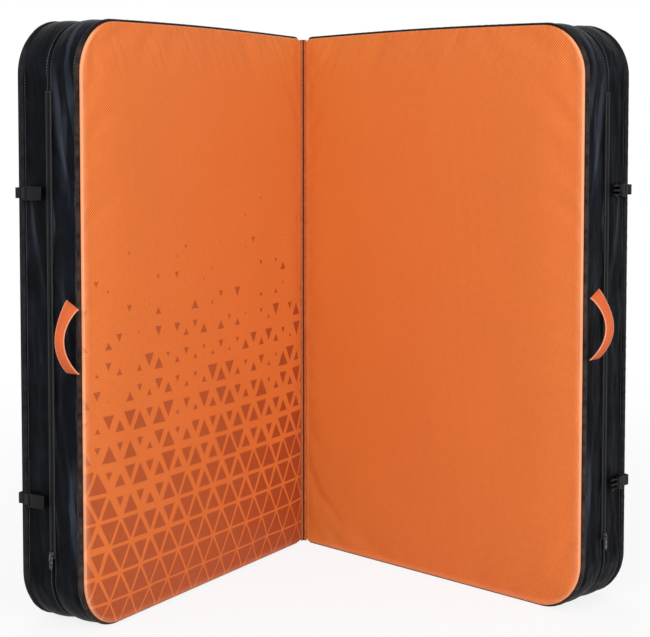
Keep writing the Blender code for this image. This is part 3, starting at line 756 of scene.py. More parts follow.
def webbing_group() -> Tree:
    """Build the chevron ribs of flat webbing.

    Returns:
        The group: it reads a place along and across the webbing and puts out a height, a shade, and
        how near the edge is, from 0 to 1.
    """
    paint, read, fill = new_group(
        "webbing_ribs",
        (("Place", "Vector", None), ("Width", "Float", 0.025), ("Pitch", "Float", 0.0016)),
        (("Height", "Float"), ("Shade", "Float"), ("Edge", "Float")),
    )
    across, along, _ = paint.parts(read["Place"])
    share = paint.math("DIVIDE", across, read["Width"])
    chevron = paint.times(paint.math("PINGPONG", paint.times(share, 6.0), 0.5), 0.9)
    turns = paint.plus(paint.math("DIVIDE", along, read["Pitch"]), chevron)
    ribs = paint.math("SINE", paint.times(turns, FULL_TURN))
    height = paint.plus(paint.times(ribs, 0.5), 0.5)
    dust = paint.ramp(paint.noise(read["Place"], 160.0), 0.2, 0.8, 0.5, 1.0)
    paint.feed(fill["Height"], height)
    paint.feed(fill["Shade"], paint.times(height, dust))
    paint.feed(fill["Edge"], paint.ramp(paint.gap(share, 0.5), 0.39, 0.49))
    return paint.tree


def stitch_group() -> Tree:
    """Build a row of stitches.

    Returns:
        The group: it reads how far across and along the seam a point is, and puts out a mask of the
        threads and the height of thread and pucker.
    """
    paint, read, fill = new_group(
        "stitch_row",
        (("Across", "Float", 0.0), ("Along", "Float", 0.0), ("Row", "Float", 0.0),
         ("Pitch", "Float", 0.005), ("Thread", "Float", 0.0009)),
        (("Thread", "Float"), ("Height", "Float")),
    )
    off = paint.math("DIVIDE", paint.gap(read["Across"], read["Row"]), read["Thread"])
    turn = paint.math("FRACT", paint.math("DIVIDE", read["Along"], read["Pitch"]))
    length = paint.ramp(paint.gap(turn, 0.5), 0.30, 0.40, 1.0, 0.0)
    thread = paint.times(length, paint.ramp(off, 0.4, 0.7, 1.0, 0.0))
    channel = paint.ramp(off, 0.0, 4.0, -1.0, 0.0)
    paint.feed(fill["Thread"], thread)
    paint.feed(fill["Height"], paint.plus(channel, thread))
    return paint.tree


def wear_group() -> Tree:
    """Build the soft unevenness of handled cloth and moulded parts.

    Returns:
        The group: it reads a place and a colour and puts out the colour with lighter and darker
        patches, and a roughness that varies with them.
    """
    paint, read, fill = new_group(
        "handled_surface",
        (("Place", "Vector", None), ("Colour", "Color", (0.5, 0.5, 0.5, 1.0)),
         ("Amount", "Float", 0.1), ("Scale", "Float", 9.0), ("Roughness", "Float", 0.6)),
        (("Colour", "Color"), ("Roughness", "Float")),
    )
    cloud = paint.noise(read["Place"], read["Scale"], 4.0)
    lean = paint.times(paint.minus(cloud, 0.5), read["Amount"])
    grey = paint.node("ShaderNodeCombineColor", dict.fromkeys(range(3), paint.plus(lean, 1.0)))
    paint.feed(fill["Colour"], paint.tinted(read["Colour"], grey.outputs[0]))
    paint.feed(fill["Roughness"], paint.plus(read["Roughness"], lean, clamp=True))
    return paint.tree


def print_group() -> Tree:
    """Build the printed pattern: a net of triangles that shrink and scatter away from one corner.

    Returns:
        The group: it reads a place in metres and how far the pattern has faded, from 0 to 1, and puts
        out a mask of the printed triangles.
    """
    paint, read, fill = new_group(
        "triangle_print",
        (("Place", "Vector", None), ("Fade", "Float", 0.0), ("Edge", "Float", 0.052)),
        (("Printed", "Float"),),
    )
    across, along, _ = paint.parts(read["Place"])
    row = paint.math("DIVIDE", along, paint.times(read["Edge"], math.sqrt(0.75)))
    column = paint.minus(paint.math("DIVIDE", across, read["Edge"]), paint.times(row, 0.5))
    part_row, part_column = paint.math("FRACT", row), paint.math("FRACT", column)
    upper = paint.math("GREATER_THAN", paint.plus(part_row, part_column), 1.0)
    first, second = paint.gap(part_row, upper), paint.gap(part_column, upper)
    third = paint.minus(1.0, paint.plus(first, second))
    nearest = paint.math("MINIMUM", paint.math("MINIMUM", first, second), third)
    triangle = {0: paint.math("FLOOR", row), 1: paint.math("FLOOR", column), 2: upper}
    key = paint.node("ShaderNodeCombineXYZ", triangle).outputs[0]
    chance = paint.node("ShaderNodeTexWhiteNoise", {"Vector": key}, noise_dimensions="3D")
    spread = paint.times(paint.minus(chance.outputs["Value"], 0.5), 0.5)
    faded = paint.times(spread, paint.ramp(read["Fade"], 0.05, 0.4))
    limit = paint.ramp(paint.plus(read["Fade"], faded), -0.1, 1.15, 0.022, 0.34)
    paint.feed(fill["Printed"], paint.ramp(paint.minus(nearest, limit), 0.0, 0.012))
    return paint.tree


@dataclass(frozen=True)
class Kit:
    """The node groups that the materials share."""

    weave: Tree
    webbing: Tree
    stitches: Tree
    wear: Tree
    triangles: Tree

    @classmethod
    def build(cls) -> "Kit":
        """Build every group once."""
        return cls(woven_group(), webbing_group(), stitch_group(), wear_group(), print_group())


@dataclass(frozen=True)
class Surface:
    """What a finish draws: the place that it reads, its colour and the height that raises it."""

    place: Socket
    colour: Socket | Colour
    height: Socket | None = None


@dataclass(frozen=True)
class Finish:
    """What every finish has, and how its material is put together.

    uneven is how strong the lighter and darker patches are, and wear_scale how fine they are. depth is
    how deep the relief is, in metres, and strength how strongly it shows.
    """

    name: str
    colour: Colour
    roughness: float
    uneven: float = 0.10
    wear_scale: float = 40.0
    specular: float = 0.5
    metallic: float = 0.0
    depth: float = 0.0003
    strength: float = 1.0

    def surface(self, paint: Paint, kit: Kit) -> Surface:
        """Draw the finish.

        Args:
            paint: The material's wiring.
            kit: The shared groups.

        Returns:
            What it draws.
        """
        raise NotImplementedError

    def edged(self, paint: Paint, colour: Socket) -> Socket:
        """The worn colour with what lies over it, which most finishes leave as it is."""
        return colour

    def material(self, kit: Kit) -> Material:
        """Build the material.

        Args:
            kit: The shared groups.

        Returns:
            The material.
        """
        material = bpy.data.materials.new(self.name)
        material.use_nodes = True
        paint = Paint(material.node_tree)
        shader = material.node_tree.nodes["Principled BSDF"]
        shader.inputs["Base Color"].default_value = self.colour
        shader.inputs["Roughness"].default_value = self.roughness
        drawn = self.surface(paint, kit)
        worn = paint.group(kit.wear, Place=drawn.place, Colour=drawn.colour, Amount=self.uneven,
                           Scale=self.wear_scale, Roughness=self.roughness)
        paint.feed(shader.inputs["Base Color"], self.edged(paint, worn["Colour"]))
        paint.feed(shader.inputs["Roughness"], worn["Roughness"])
        shader.inputs["Specular IOR Level"].default_value = self.specular
        shader.inputs["Metallic"].default_value = self.metallic
        if drawn.height is not None:
            raised = {"Height": drawn.height, "Distance": self.depth, "Strength": self.strength}
            paint.feed(shader.inputs["Normal"], paint.node("ShaderNodeBump", raised).outputs[0])
        return material


@dataclass(frozen=True)
class LandingFabric(Finish):
    """Coated nylon with a fine diagonal weave, with a painted sheen where it rolls over its edge."""

    wear_scale: float = 5.0
    specular: float = 0.25
    depth: float = 0.0008
    strength: float = 0.8
    sheen: float = 0.04
    sheen_roughness: float = 0.45
    printed: bool = False
    ink: Colour = (0.34, 0.050, 0.006, 1.0)
    # crest is a painted highlight on the weave's raised threads, and hollow a painted shade in its
    # hollows.
    crest: Colour = (1.0, 0.36, 0.13, 1.0)
    hollow: Colour = (0.30, 0.05, 0.01, 1.0)
    # rolled is a painted sheen on the rolled edge.
    rolled: Colour = (0.98, 0.46, 0.26, 1.0)
    # seam is a painted shadow in the seam under the rolled edge.
    seam: Colour = (0.010, 0.008, 0.008, 1.0)
    # Painted light: a brighter, yellower colour towards the fold, which lifts the shade that falls there.
    by_fold: Colour = (0.67, 0.176, 0.028, 1.0)
    threads: float = 205.0

    def material(self, kit: Kit) -> Material:
        """Build the material, with a soft sheen.

        Args:
            kit: The shared groups.

        Returns:
            The material.
        """
        material = super().material(kit)
        inputs = material.node_tree.nodes["Principled BSDF"].inputs
        inputs["Sheen Weight"].default_value = self.sheen
        inputs["Sheen Roughness"].default_value = self.sheen_roughness
        return material

    def surface(self, paint: Paint, kit: Kit) -> Surface:
        """Draw the weave with a painted highlight and shade, the print, painted light towards the fold,
        the gathers along the rim and the folds near the top.

        Args:
            paint: The material's wiring.
            kit: The shared groups.

        Returns:
            The drawing, on the cloth's own layout.
        """
        place = paint.cloth_place()
        weave = paint.group(kit.weave, Place=place, Threads=self.threads)
        across, up, _ = paint.parts(place)
        # Painted light towards the fold, over the first 0.32 m across.
        colour = paint.mix(paint.ramp(across, 0.0, 0.32, 1.0, 0.0), self.colour, self.by_fold)
        if self.printed:
            rise = paint.plus(up, paint.times(across, 0.12))
            fade = paint.math("DIVIDE", paint.minus(rise, 0.06), 0.60)
            triangles = paint.group(kit.triangles, Place=place, Fade=fade)
            colour = paint.mix(triangles["Printed"], colour, self.ink)
        crisp = paint.ramp(across, 0.04, 0.34, 0.45, 1.0)
        # Painted highlight on the weave's crests and painted shade in its hollows, softer towards the
        # fold.
        light = paint.ramp(weave["Shade"], 0.35, 1.0, 0.0, 0.36)
        colour = paint.mix(paint.times(light, crisp), colour, self.crest)
        shadow = paint.ramp(weave["Height"], 0.0, 0.35, 0.34, 0.0)
        colour = paint.mix(paint.times(shadow, crisp), colour, self.hollow)
        near_rim = paint.ramp(paint.attribute("rim"), 0.0, 0.016, 3.0, 0.0)
        gathers = paint.times(paint.noise(place, 75.0, 2.0), near_rim)
        height = paint.plus(paint.times(weave["Height"], 0.34), gathers)
        for slant, scale, start, tall in ((0.0, 95.0, 0.962, 3.0), (-0.45, 44.0, 0.86, 6.5)):
            folds = paint.streaks(place, slant, 5.0, scale, 1.5)
            height = paint.plus(height, paint.times(folds, paint.ramp(up, start, 0.99, 0.0, tall)))
        return Surface(place, colour, height)

    def edged(self, paint: Paint, colour: Socket) -> Socket:
        """Paint a sheen where the cloth rolls over the rim, and a shadow in the seam under it.

        Args:
            paint: The material's wiring.
            colour: The worn colour.

        Returns:
            The colour with both.
        """
        rim = paint.attribute("rim")
        across, up, _ = paint.parts(paint.cloth_place())
        # Painted sheen along the rolled edge, left off the top edge and weaker towards the fold.
        pale = paint.plus(paint.ramp(rim, 0.0, 0.0026, 0.38, 0.0), paint.ramp(rim, 0.0, 0.0150, 0.20, 0.0))
        pale = paint.times(pale, paint.ramp(up, 0.965, 0.99, 1.0, 0.0))
        pale = paint.times(pale, paint.ramp(across, 0.02, 0.10, 0.3, 1.0))
        # Painted shadow in the seam under the rolled edge.
        sewn = paint.ramp(rim, -0.0026, -0.0019, 1.0, 0.0)
        return paint.mix(sewn, paint.mix(pale, colour, self.rolled), self.seam)


@dataclass(frozen=True)
class BandFabric(Finish):
    """Heavy black nylon with a painted soft blue sheen, and a row of stitches along a seam."""

    uneven: float = 0.5
    wear_scale: float = 14.0
    specular: float = 0.045
    depth: float = 0.0006
    strength: float = 0.8
    # Dust and a painted blue sheen, in patches and on the weave's knots.
    dusty: Colour = (0.0048, 0.0064, 0.0100, 1.0)
    # lit is a painted highlight on the ridges of the long folds.
    lit: Colour = (0.034, 0.041, 0.055, 1.0)
    folded: float = 1.0
    thread: Colour = (0.09, 0.09, 0.09, 1.0)
    threads: float = 420.0
    row: float = 0.004

    def surface(self, paint: Paint, kit: Kit) -> Surface:
        """Draw the weave, the dust and painted sheen patches, the long folds with painted highlights on
        their ridges, and the row of stitches.

        Args:
            paint: The material's wiring.
            kit: The shared groups.

        Returns:
            The drawing, on the cloth's own layout.
        """
        place = paint.cloth_place()
        weave = paint.group(kit.weave, Place=place, Threads=self.threads)
        # Cloudy patches of dust and painted sheen.
        dust = paint.ramp(paint.noise(place, 16.0, 5.0), 0.35, 0.75)
        colour = paint.mix(dust, self.colour, self.dusty)
        # Painted sheen on the weave's knots.
        colour = paint.mix(paint.times(weave["Shade"], 0.25), colour, self.dusty)
        folds = 0.0
        # Painted highlights along the ridges of the long folds, in patches.
        for slant, scale, area, share in ((-0.14, 62.0, 6.0, 1.0), (0.03, 48.0, 9.0, 0.6)):
            fold = paint.streaks(place, slant, 16.0, scale, 1.0)
            some = paint.ramp(paint.noise(place, area, 2.0), 0.40, 0.64, 0.0, share * self.folded)
            colour = paint.mix(paint.times(paint.ramp(fold, 0.52, 0.70), some), colour, self.lit)
            folds = paint.plus(folds, paint.times(fold, 6.0 * share * self.folded))
        seam = paint.group(kit.stitches, Across=paint.attribute("seam"), Along=paint.attribute("run"),
                           Row=self.row)
        height = paint.plus(paint.times(weave["Height"], 0.20), seam["Height"])
        return Surface(place, paint.mix(seam["Thread"], colour, self.thread), paint.plus(height, folds))


@dataclass(frozen=True)
class Binding(Finish):
    """The mottled grey tape that wraps the piping cord, puckered along its length."""

    uneven: float = 0.5
    wear_scale: float = 60.0
    specular: float = 0.12
    depth: float = 0.0005
    strength: float = 0.8
    warm: Colour = (0.048, 0.030, 0.023, 1.0)

    def surface(self, paint: Paint, kit: Kit) -> Surface:
        """Draw the mottled tape, plain along the top edge.

        Args:
            paint: The material's wiring.
            kit: The shared groups.

        Returns:
            The drawing, on the cord's own layout.
        """
        place = paint.cloth_place()
        _, _, up = paint.parts(paint.object_place())
        mottled = paint.times(paint.ramp(paint.noise(place, 55.0, 4.0), 0.30, 0.70),
                              paint.ramp(up, 0.93, 0.975, 1.0, 0.0))
        return Surface(place, paint.mix(mottled, self.colour, self.warm), paint.noise(place, 420.0, 2.0))


@dataclass(frozen=True)
class Webbing(Finish):
    """Flat woven webbing with chevron ribs and paler, rubbed edges."""

    specular: float = 0.25
    dark: Colour = (0.62, 0.55, 0.52, 1.0)
    rubbed: Colour = (0.30, 0.30, 0.30, 1.0)
    width: float = 0.025
    pitch: float = 0.0016

    def surface(self, paint: Paint, kit: Kit) -> Surface:
        """Draw the ribs and the rubbed edges.

        Args:
            paint: The material's wiring.
            kit: The shared groups.

        Returns:
            The drawing, on the webbing's own layout.
        """
        place = paint.cloth_place()
        ribs = paint.group(kit.webbing, Place=place, Width=self.width, Pitch=self.pitch)
        colour = paint.mix(ribs["Shade"], paint.tinted(self.colour, self.dark), self.colour)
        colour = paint.mix(paint.times(ribs["Edge"], 0.5), colour, self.rubbed)
        return Surface(place, colour, ribs["Height"])


@dataclass(frozen=True)
class PlainWebbing(Finish):
    """Narrow black webbing and patches, ribbed along their height."""

    specular: float = 0.2
    depth: float = 0.0002
    strength: float = 0.8
    pitch: float = 0.0014
    lean: float = 0.25
    # Dust with a painted highlight, on the rib crests.
    dusty: Colour = (0.020, 0.021, 0.024, 1.0)

    def surface(self, paint: Paint, kit: Kit) -> Surface:
        """Draw the leaning ribs, and dust with a painted highlight on their crests.

        Args:
            paint: The material's wiring.
            kit: The shared groups.

        Returns:
            The drawing, at the point's own place.
        """
        place = paint.object_place()
        across, depth, up = paint.parts(place)
        slant = paint.plus(up, paint.times(paint.plus(across, depth), self.lean))
        ribs = paint.math("SINE", paint.times(slant, FULL_TURN / self.pitch))
        height = paint.plus(paint.times(ribs, 0.5), 0.5)
        worn = paint.ramp(paint.noise(place, 60.0, 4.0), 0.45, 0.75, 0.1, 0.6)
        # Dust and a painted highlight on the rib crests, in patches.
        return Surface(place, paint.mix(paint.times(height, worn), self.colour, self.dusty), height)


@dataclass(frozen=True)
class SeamFabric(Finish):
    """The landing fabric where it is rolled and gathered into a seam."""

    uneven: float = 0.4
    wear_scale: float = 30.0
    depth: float = 0.0004
    dark: Colour = (0.6, 0.55, 0.5, 1.0)
    # deep is a painted shadow in the slit.
    deep: Colour = (0.018, 0.006, 0.003, 1.0)

    def surface(self, paint: Paint, kit: Kit) -> Surface:
        """Draw the gathered cloth and a painted shadow along the slit.

        Args:
            paint: The material's wiring.
            kit: The shared groups.

        Returns:
            The drawing, on the cloth's own layout.
        """
        place = paint.cloth_place()
        weave = paint.group(kit.weave, Place=place)
        gathers = paint.ramp(paint.noise(place, 160.0), 0.35, 0.65, 0.4, 1.0)
        colour = paint.mix(gathers, paint.tinted(self.colour, self.dark), self.colour)
        # Painted shadow, near-black along the slit between the two rolls.
        slit = paint.ramp(paint.attribute("slit"), 0.0012, 0.0036, 1.0, 0.0)
        return Surface(place, paint.mix(slit, colour, self.deep), weave["Height"])


@dataclass(frozen=True)
class Moulded(Finish):
    """A plain material with a fine grain, such as moulded plastic or thread."""

    wear_scale: float = 80.0
    specular: float = 0.16
    depth: float = 0.00008
    grain: float = 1800.0

    def surface(self, paint: Paint, kit: Kit) -> Surface:
        """Draw the plain colour and its grain, at the point's own place."""
        place = paint.object_place()
        return Surface(place, self.colour, paint.noise(place, self.grain, 1.0))


@dataclass(frozen=True)
class CastMetal(Finish):
    """Dark plated metal, rubbed bright in places."""

    uneven: float = 0.3
    wear_scale: float = 300.0
    metallic: float = 0.9
    bright: Colour = (0.32, 0.32, 0.33, 1.0)

    def surface(self, paint: Paint, kit: Kit) -> Surface:
        """Draw the metal and where it is rubbed.

        Args:
            paint: The material's wiring.
            kit: The shared groups.

        Returns:
            The drawing, at the point's own place and without relief.
        """
        place = paint.object_place()
        rubbed = paint.ramp(paint.noise(place, 260.0, 4.0), 0.50, 0.72)
        return Surface(place, paint.mix(rubbed, self.colour, self.bright))


@dataclass(frozen=True)
class Foam(Finish):
    """Cut foam with open cells."""

    wear_scale: float = 12.0
    depth: float = 0.0006
    dark: Colour = (0.55, 0.52, 0.48, 1.0)
    cells: float = 900.0

    def surface(self, paint: Paint, kit: Kit) -> Surface:
        """Draw the cells.

        Args:
            paint: The material's wiring.
            kit: The shared groups.

        Returns:
            The drawing, at the point's own place.
        """
        place = paint.object_place()
        pores = paint.noise(place, self.cells)
        dark = paint.tinted(self.colour, self.dark)
        return Surface(place, paint.mix(paint.ramp(pores, 0.35, 0.6), dark, self.colour), pores)


BLACK: Colour = (0.0015, 0.0018, 0.0026, 1.0)


class Look(Enum):
    """The finishes that the pad has."""

    LANDING = LandingFabric("landing_fabric", (0.645, 0.145, 0.021, 1.0), 0.66)
    PRINTED = replace(LANDING, name="printed_landing_fabric", printed=True)
    BAND = BandFabric("band_fabric", BLACK, 0.46)
    REAR_BAND = BandFabric("rear_band_fabric", BLACK, 0.46, folded=0.5)
    BACK = BandFabric("back_fabric", BLACK, 0.50, dusty=(0.0075, 0.0090, 0.0125, 1.0), folded=0.1)
    BINDING = Binding("piping_tape", (0.006, 0.005, 0.005, 1.0), 0.65)
    EDGING = Binding("edging_tape", (0.003, 0.003, 0.004, 1.0), 0.65, warm=(0.012, 0.012, 0.014, 1.0))
    ORANGE_WEBBING = Webbing("orange_webbing", (0.86, 0.17, 0.045, 1.0), 0.62,
                             rubbed=(1.0, 0.52, 0.32, 1.0))
    BLACK_WEBBING = Webbing("black_webbing", (0.007, 0.0075, 0.009, 1.0), 0.60,
                            rubbed=(0.022, 0.022, 0.025, 1.0))
    STRAP = PlainWebbing("strap_webbing", (0.004, 0.0045, 0.005, 1.0), 0.65)
    PATCH = PlainWebbing("patch", (0.006, 0.0065, 0.008, 1.0), 0.65, pitch=0.0007)
    SEAM = SeamFabric("fold_seam", (0.52, 0.125, 0.025, 1.0), 0.7)
    THREAD = Moulded("sewing_thread", (0.055, 0.055, 0.058, 1.0), 0.55, uneven=0.3)
    PLASTIC = Moulded("moulded_plastic", (0.0035, 0.0038, 0.0045, 1.0), 0.42)
    METAL = CastMetal("zip_metal", (0.045, 0.045, 0.048, 1.0), 0.38)
    FIRM_FOAM = Foam("firm_foam", (0.10, 0.10, 0.11, 1.0), 0.9)
    SOFT_FOAM = Foam("soft_foam", (0.62, 0.58, 0.42, 1.0), 0.9)


@dataclass(frozen=True)
class Wardrobe:
    """The finished material of every look, built once."""

    materials: Mapping[Look, Material]

    @classmethod
    def build(cls) -> "Wardrobe":
        """Build the shared groups and then every material."""
        kit = Kit.build()
        return cls({look: look.value.material(kit) for look in Look})

    def fill(self, piece: Piece, look: Look) -> None:
        """Give a piece one look's material, and no other."""
        piece.data.materials.clear()
        piece.data.materials.append(self.materials[look])

    def dress(self, piece: Piece, look: Look) -> None:
        """Give a piece its look."""
        self.fill(piece, look)


@dataclass
class Draft:
    """A padded sheet while it is drawn: its faces, its points and what each point carries."""

    points: Row = field(default_factory=list)
    held: list[float] = field(default_factory=list)
    depths: list[float] = field(default_factory=list)
    faces: list[tuple[int, ...]] = field(default_factory=list)

    def add(self, point: Vector, held: float, depth: float) -> int:
        """Add a point.

        Args:
            point: Its place.
            held: How firmly it is pinned.
            depth: Its distance from the rim.

        Returns:
            Its number.
        """
        self.points.append(point)
        self.held.append(held)
        self.depths.append(depth)
        return len(self.points) - 1

    def piece(self, name: str, turned: bool) -> Piece:
        """Make the piece, with its pins, its layout and its distance from the rim.

        Args:
            name: The piece's name.
            turned: Whether its faces look the other way.

        Returns:
            The piece.
        """
        faces = [face[::-1] for face in self.faces] if turned else self.faces
        piece = add_mesh(name, self.points, faces)
        corners = [self.points[index] for face in faces for index in face]
        lay_out(piece, [(corner.x, corner.z) for corner in corners])
        add_pins(piece, self.held)
        add_attribute(piece, "rim", self.depths)
        return piece


@dataclass
class PaddedPanel:
    """A face of a cushion: a crowned sheet with a rolled edge, a wall and a hem under its seam."""

    half: Half
    part: str
    crown: float
    outward: int
    cell: float = 0.009
    roll: float = 0.0035
    crown_reach: float = 0.090
    roll_steps: int = 4
    hem: float = 0.006
    pucker: float = 0.0009
    pucker_reach: float = 0.030
    swell_share: float = 0.8
    swells: Pair = (3.1, 2.3)
    tucks: float = 38.0
    shut_gap: float = 0.0004
    shut_ease: float = 0.0008

    def build(self, settling: Settling) -> Piece:
        """Model the panel and let its cloth settle.

        Args:
            settling: How its cloth settles.

        Returns:
            The finished piece, in the frame.
        """
        low, high = self.half.span(self.part)
        seam = high.y if self.outward < 0 else low.y
        crest = low.y if self.outward < 0 else high.y
        wall = abs(crest - seam) - self.crown
        piece = self.sheet(Outline.of(low, high), seam, wall)
        settling.run(piece)
        refine(piece)
        self.make_room(piece)
        self.half.settle(piece)
        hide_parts(self.half.named(self.part))
        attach(piece, self.half.body)
        return piece

    def make_room(self, piece: Piece) -> None:
        """Draw back the cloth that would meet the other half's with the pad shut.

        Args:
            piece: The panel, in the half's axes.
        """
        slope = math.tan(self.half.shut_lean)
        for corner in piece.data.vertices:
            spare = corner.co.y + corner.co.x * slope - self.shut_gap
            if spare < self.shut_ease:
                corner.co.y += self.shut_ease * math.exp(spare / self.shut_ease - 1) - spare

    def crowned(self, rim: Outline, u: float, z: float) -> float:
        """Find how far the face rises at a place, with the soft hollows and swellings of its foam.

        Args:
            rim: The face's rim.
            u: The place across.
            z: Its height.

        Returns:
            The rise above the rolled edge.
        """
        edge = min(u - rim.u_low, rim.u_high - u, z - rim.z_low, rim.z_high - z)
        share = min(max(edge / self.crown_reach, 0), 1)
        rise = self.crown * math.sin(QUARTER * share)
        across, up = self.swells
        broad = noise.noise(Vector((across * u + self.outward, up * z, 0.7)))
        seed = self.outward + self.half.side.value
        tucked = noise.noise(Vector((self.tucks * u, self.tucks * z, seed)))
        fading = math.exp(-edge / self.pucker_reach)
        return rise + self.pucker * (self.swell_share * broad * share + tucked * fading)

    def sheet(self, rim: Outline, seam: float, wall: float) -> Piece:
        """Model the face, its rolled edge, its wall and its hem as one sheet.

        Args:
            rim: The panel's rim.
            seam: Where its wall meets the piping, along t.
            wall: How far the rolled edge stands from the seam.

        Returns:
            The piece, in the half's axes.
        """
        face = rim.inset(self.roll)
        columns = round((face.u_high - face.u_low) / self.cell)
        lines = round((face.z_high - face.z_low) / self.cell)
        draft = Draft()
        for line in range(lines + 1):
            z = face.z_low + (face.z_high - face.z_low) * line / lines
            for column in range(columns + 1):
                u = face.u_low + (face.u_high - face.u_low) * column / columns
                fitted_u, fitted_z = face.fitted(u, z)
                rise = wall + self.crowned(face, u, z)
                border = min(line, lines - line, column, columns - column)
                draft.add(Vector((fitted_u, seam + self.outward * rise, fitted_z)),
                          1.0 if border == 0 else 0.0, self.roll + self.cell * border)
        stride = columns + 1
        for line in range(lines):
            for corner in range(line * stride, line * stride + columns):
                draft.faces.append((corner, corner + 1, corner + stride + 1, corner + stride))
        last = lines * stride
        border = [*range(columns), *range(columns, last + columns, stride),
                  *range(last + columns, last, -1), *range(last, 0, -stride)]
        self.skirt(draft, border, seam, wall)
        return draft.piece(self.half.named(self.part) + "_cloth", turned=self.outward > 0)

    def skirt(self, draft: Draft, border: list[int], seam: float, wall: float) -> None:
        """Add the rolled edge, the wall and the hem round the face's border.

        Args:
            draft: The face, added to.
            border: Its border points, anticlockwise.
            seam: Where the panel's wall meets the piping, along t.
            wall: How far the rolled edge stands from the seam.
        """
        rings = []
        for step in range(1, self.roll_steps + 1):
            angle = QUARTER * (1 - step / self.roll_steps)
            out = self.roll * math.cos(angle)
            rings.append((out, wall - self.roll * (1 - math.sin(angle)), self.roll - out))
        straight = wall - self.roll
        rings.append((self.roll, straight / 2, -straight / 2))
        rings.append((self.roll, 0.0, -straight))
        rings.append((self.roll - self.hem, 0.0, -straight - self.hem))
        feet = [draft.points[index] for index in border]
        directions = self.outward_directions(feet)
        inner = border
        for out, rise, depth in rings:
            outer = []
            for foot, direction in zip(feet, directions):
                place = Vector((foot.x, seam + self.outward * rise, foot.z)) + direction * out
                outer.append(draft.add(place, 1.0, depth))
            for step in range(len(border)):
                after = (step + 1) % len(border)
                draft.faces.append((inner[after], inner[step], outer[step], outer[after]))
            inner = outer

    @staticmethod
    def outward_directions(run: Row) -> Row:
        """Find the directions that point out of a closed run of points, in its own plane.

        Args:
            run: The points, anticlockwise in u and z.

        Returns:
            One direction for each point.
        """
        directions = []
        for ahead, behind in zip(run[1:] + run[:1], run[-1:] + run[:-1]):
            tangent = Vector((ahead.x - behind.x, 0, ahead.z - behind.z)).normalized()
            directions.append(Vector((tangent.z, 0, -tangent.x)))
        return directions


@dataclass
class SideBand:
    """One strip of the black band round a cushion, drawn in between its two seams by long folds.

    Each row of creases says how they lean, how fine they are across and along, and their share.
    """

    CREASES: ClassVar[tuple[tuple[float, float, float, float], ...]] = (
        (0.16, 36, 3.0, 1.0), (-0.064, 60, 5.0, 0.5))

    half: Half
    strip: Strip
    bulge: float = 0.004
    spacing: float = 0.007
    lines: int = 12
    tuck: float = 0.003
    crease: float = 0.0024
    sharpness: float = 5.0
    level: float = 0.4
    ripples: Triple = (30.0, 22.0, 0.4)

    def build(self, rim: Outline, settling: Settling) -> Piece:
        """Model the strip and let its cloth settle.

        Args:
            rim: The outline that its seams follow.
            settling: How its cloth settles.

        Returns:
            The finished piece, in the frame.
        """
        part = f"band_{self.strip.value}"
        low, high = self.half.span(part)
        walk = rim.walk(self.spacing)
        lengths = [0.0]
        for (u, z, _, _), (next_u, next_z, _, _) in zip(walk, walk[1:] + walk[:1]):
            lengths.append(lengths[-1] + math.dist((u, z), (next_u, next_z)))
        profile = [(-self.tuck, low.y, 0.0)]
        for line in range(self.lines + 1):
            share = line / self.lines
            profile.append((0.0, low.y + (high.y - low.y) * share, 1 - (2 * share - 1) ** 2))
        profile.append((-self.tuck, high.y, 0.0))
        rows = []
        places = []
        seams = []
        for out, t, roundness in profile:
            row = []
            for (u, z, across, up), length in zip(walk, lengths):
                folds = self.creased(length, t) * (1 - abs(up))
                rise = out + (self.bulge + folds) * roundness
                row.append(Vector((u + across * rise, t, z + up * rise)))
            rows.append(row)
            places.append([(t - out, length) for length in lengths])
            seams.extend([min(t - low.y, high.y - t) if out == 0 else -self.tuck] * len(walk))
        piece = lattice(self.half.named(part) + "_cloth", rows, places, closed=True)
        inner = range(2, len(rows) - 2)
        add_pins(piece, [0.0 if index // len(walk) in inner else 1.0 for index in range(len(seams))])
        add_attribute(piece, "seam", seams)
        add_attribute(piece, "run", lengths[:-1] * len(rows))
        settling.run(piece)
        refine(piece)
        keep_above_floor(piece)
        self.half.settle(piece)
        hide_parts(self.half.named(part))
        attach(piece, self.half.body)
        return piece

    def creased(self, length: float, t: float) -> float:
        """Find how far the long slanting folds lift the cloth at a place.

        Args:
            length: How far round the cushion the place is.
            t: The place through the thickness.

        Returns:
            The lift, in metres.
        """
        lift = 0.0
        for lean, across, along, share in self.CREASES:
            slope = lean * self.half.side.value
            folds = noise.noise(Vector((across * (t + slope * length), along * length, share)))
            lift += share * (1 - min(1.0, abs(folds) * self.sharpness))
        across, along, share = self.ripples
        rippled = noise.noise(Vector((across * t, along * length, 5.0)))
        return self.crease * (lift - self.level + share * rippled)


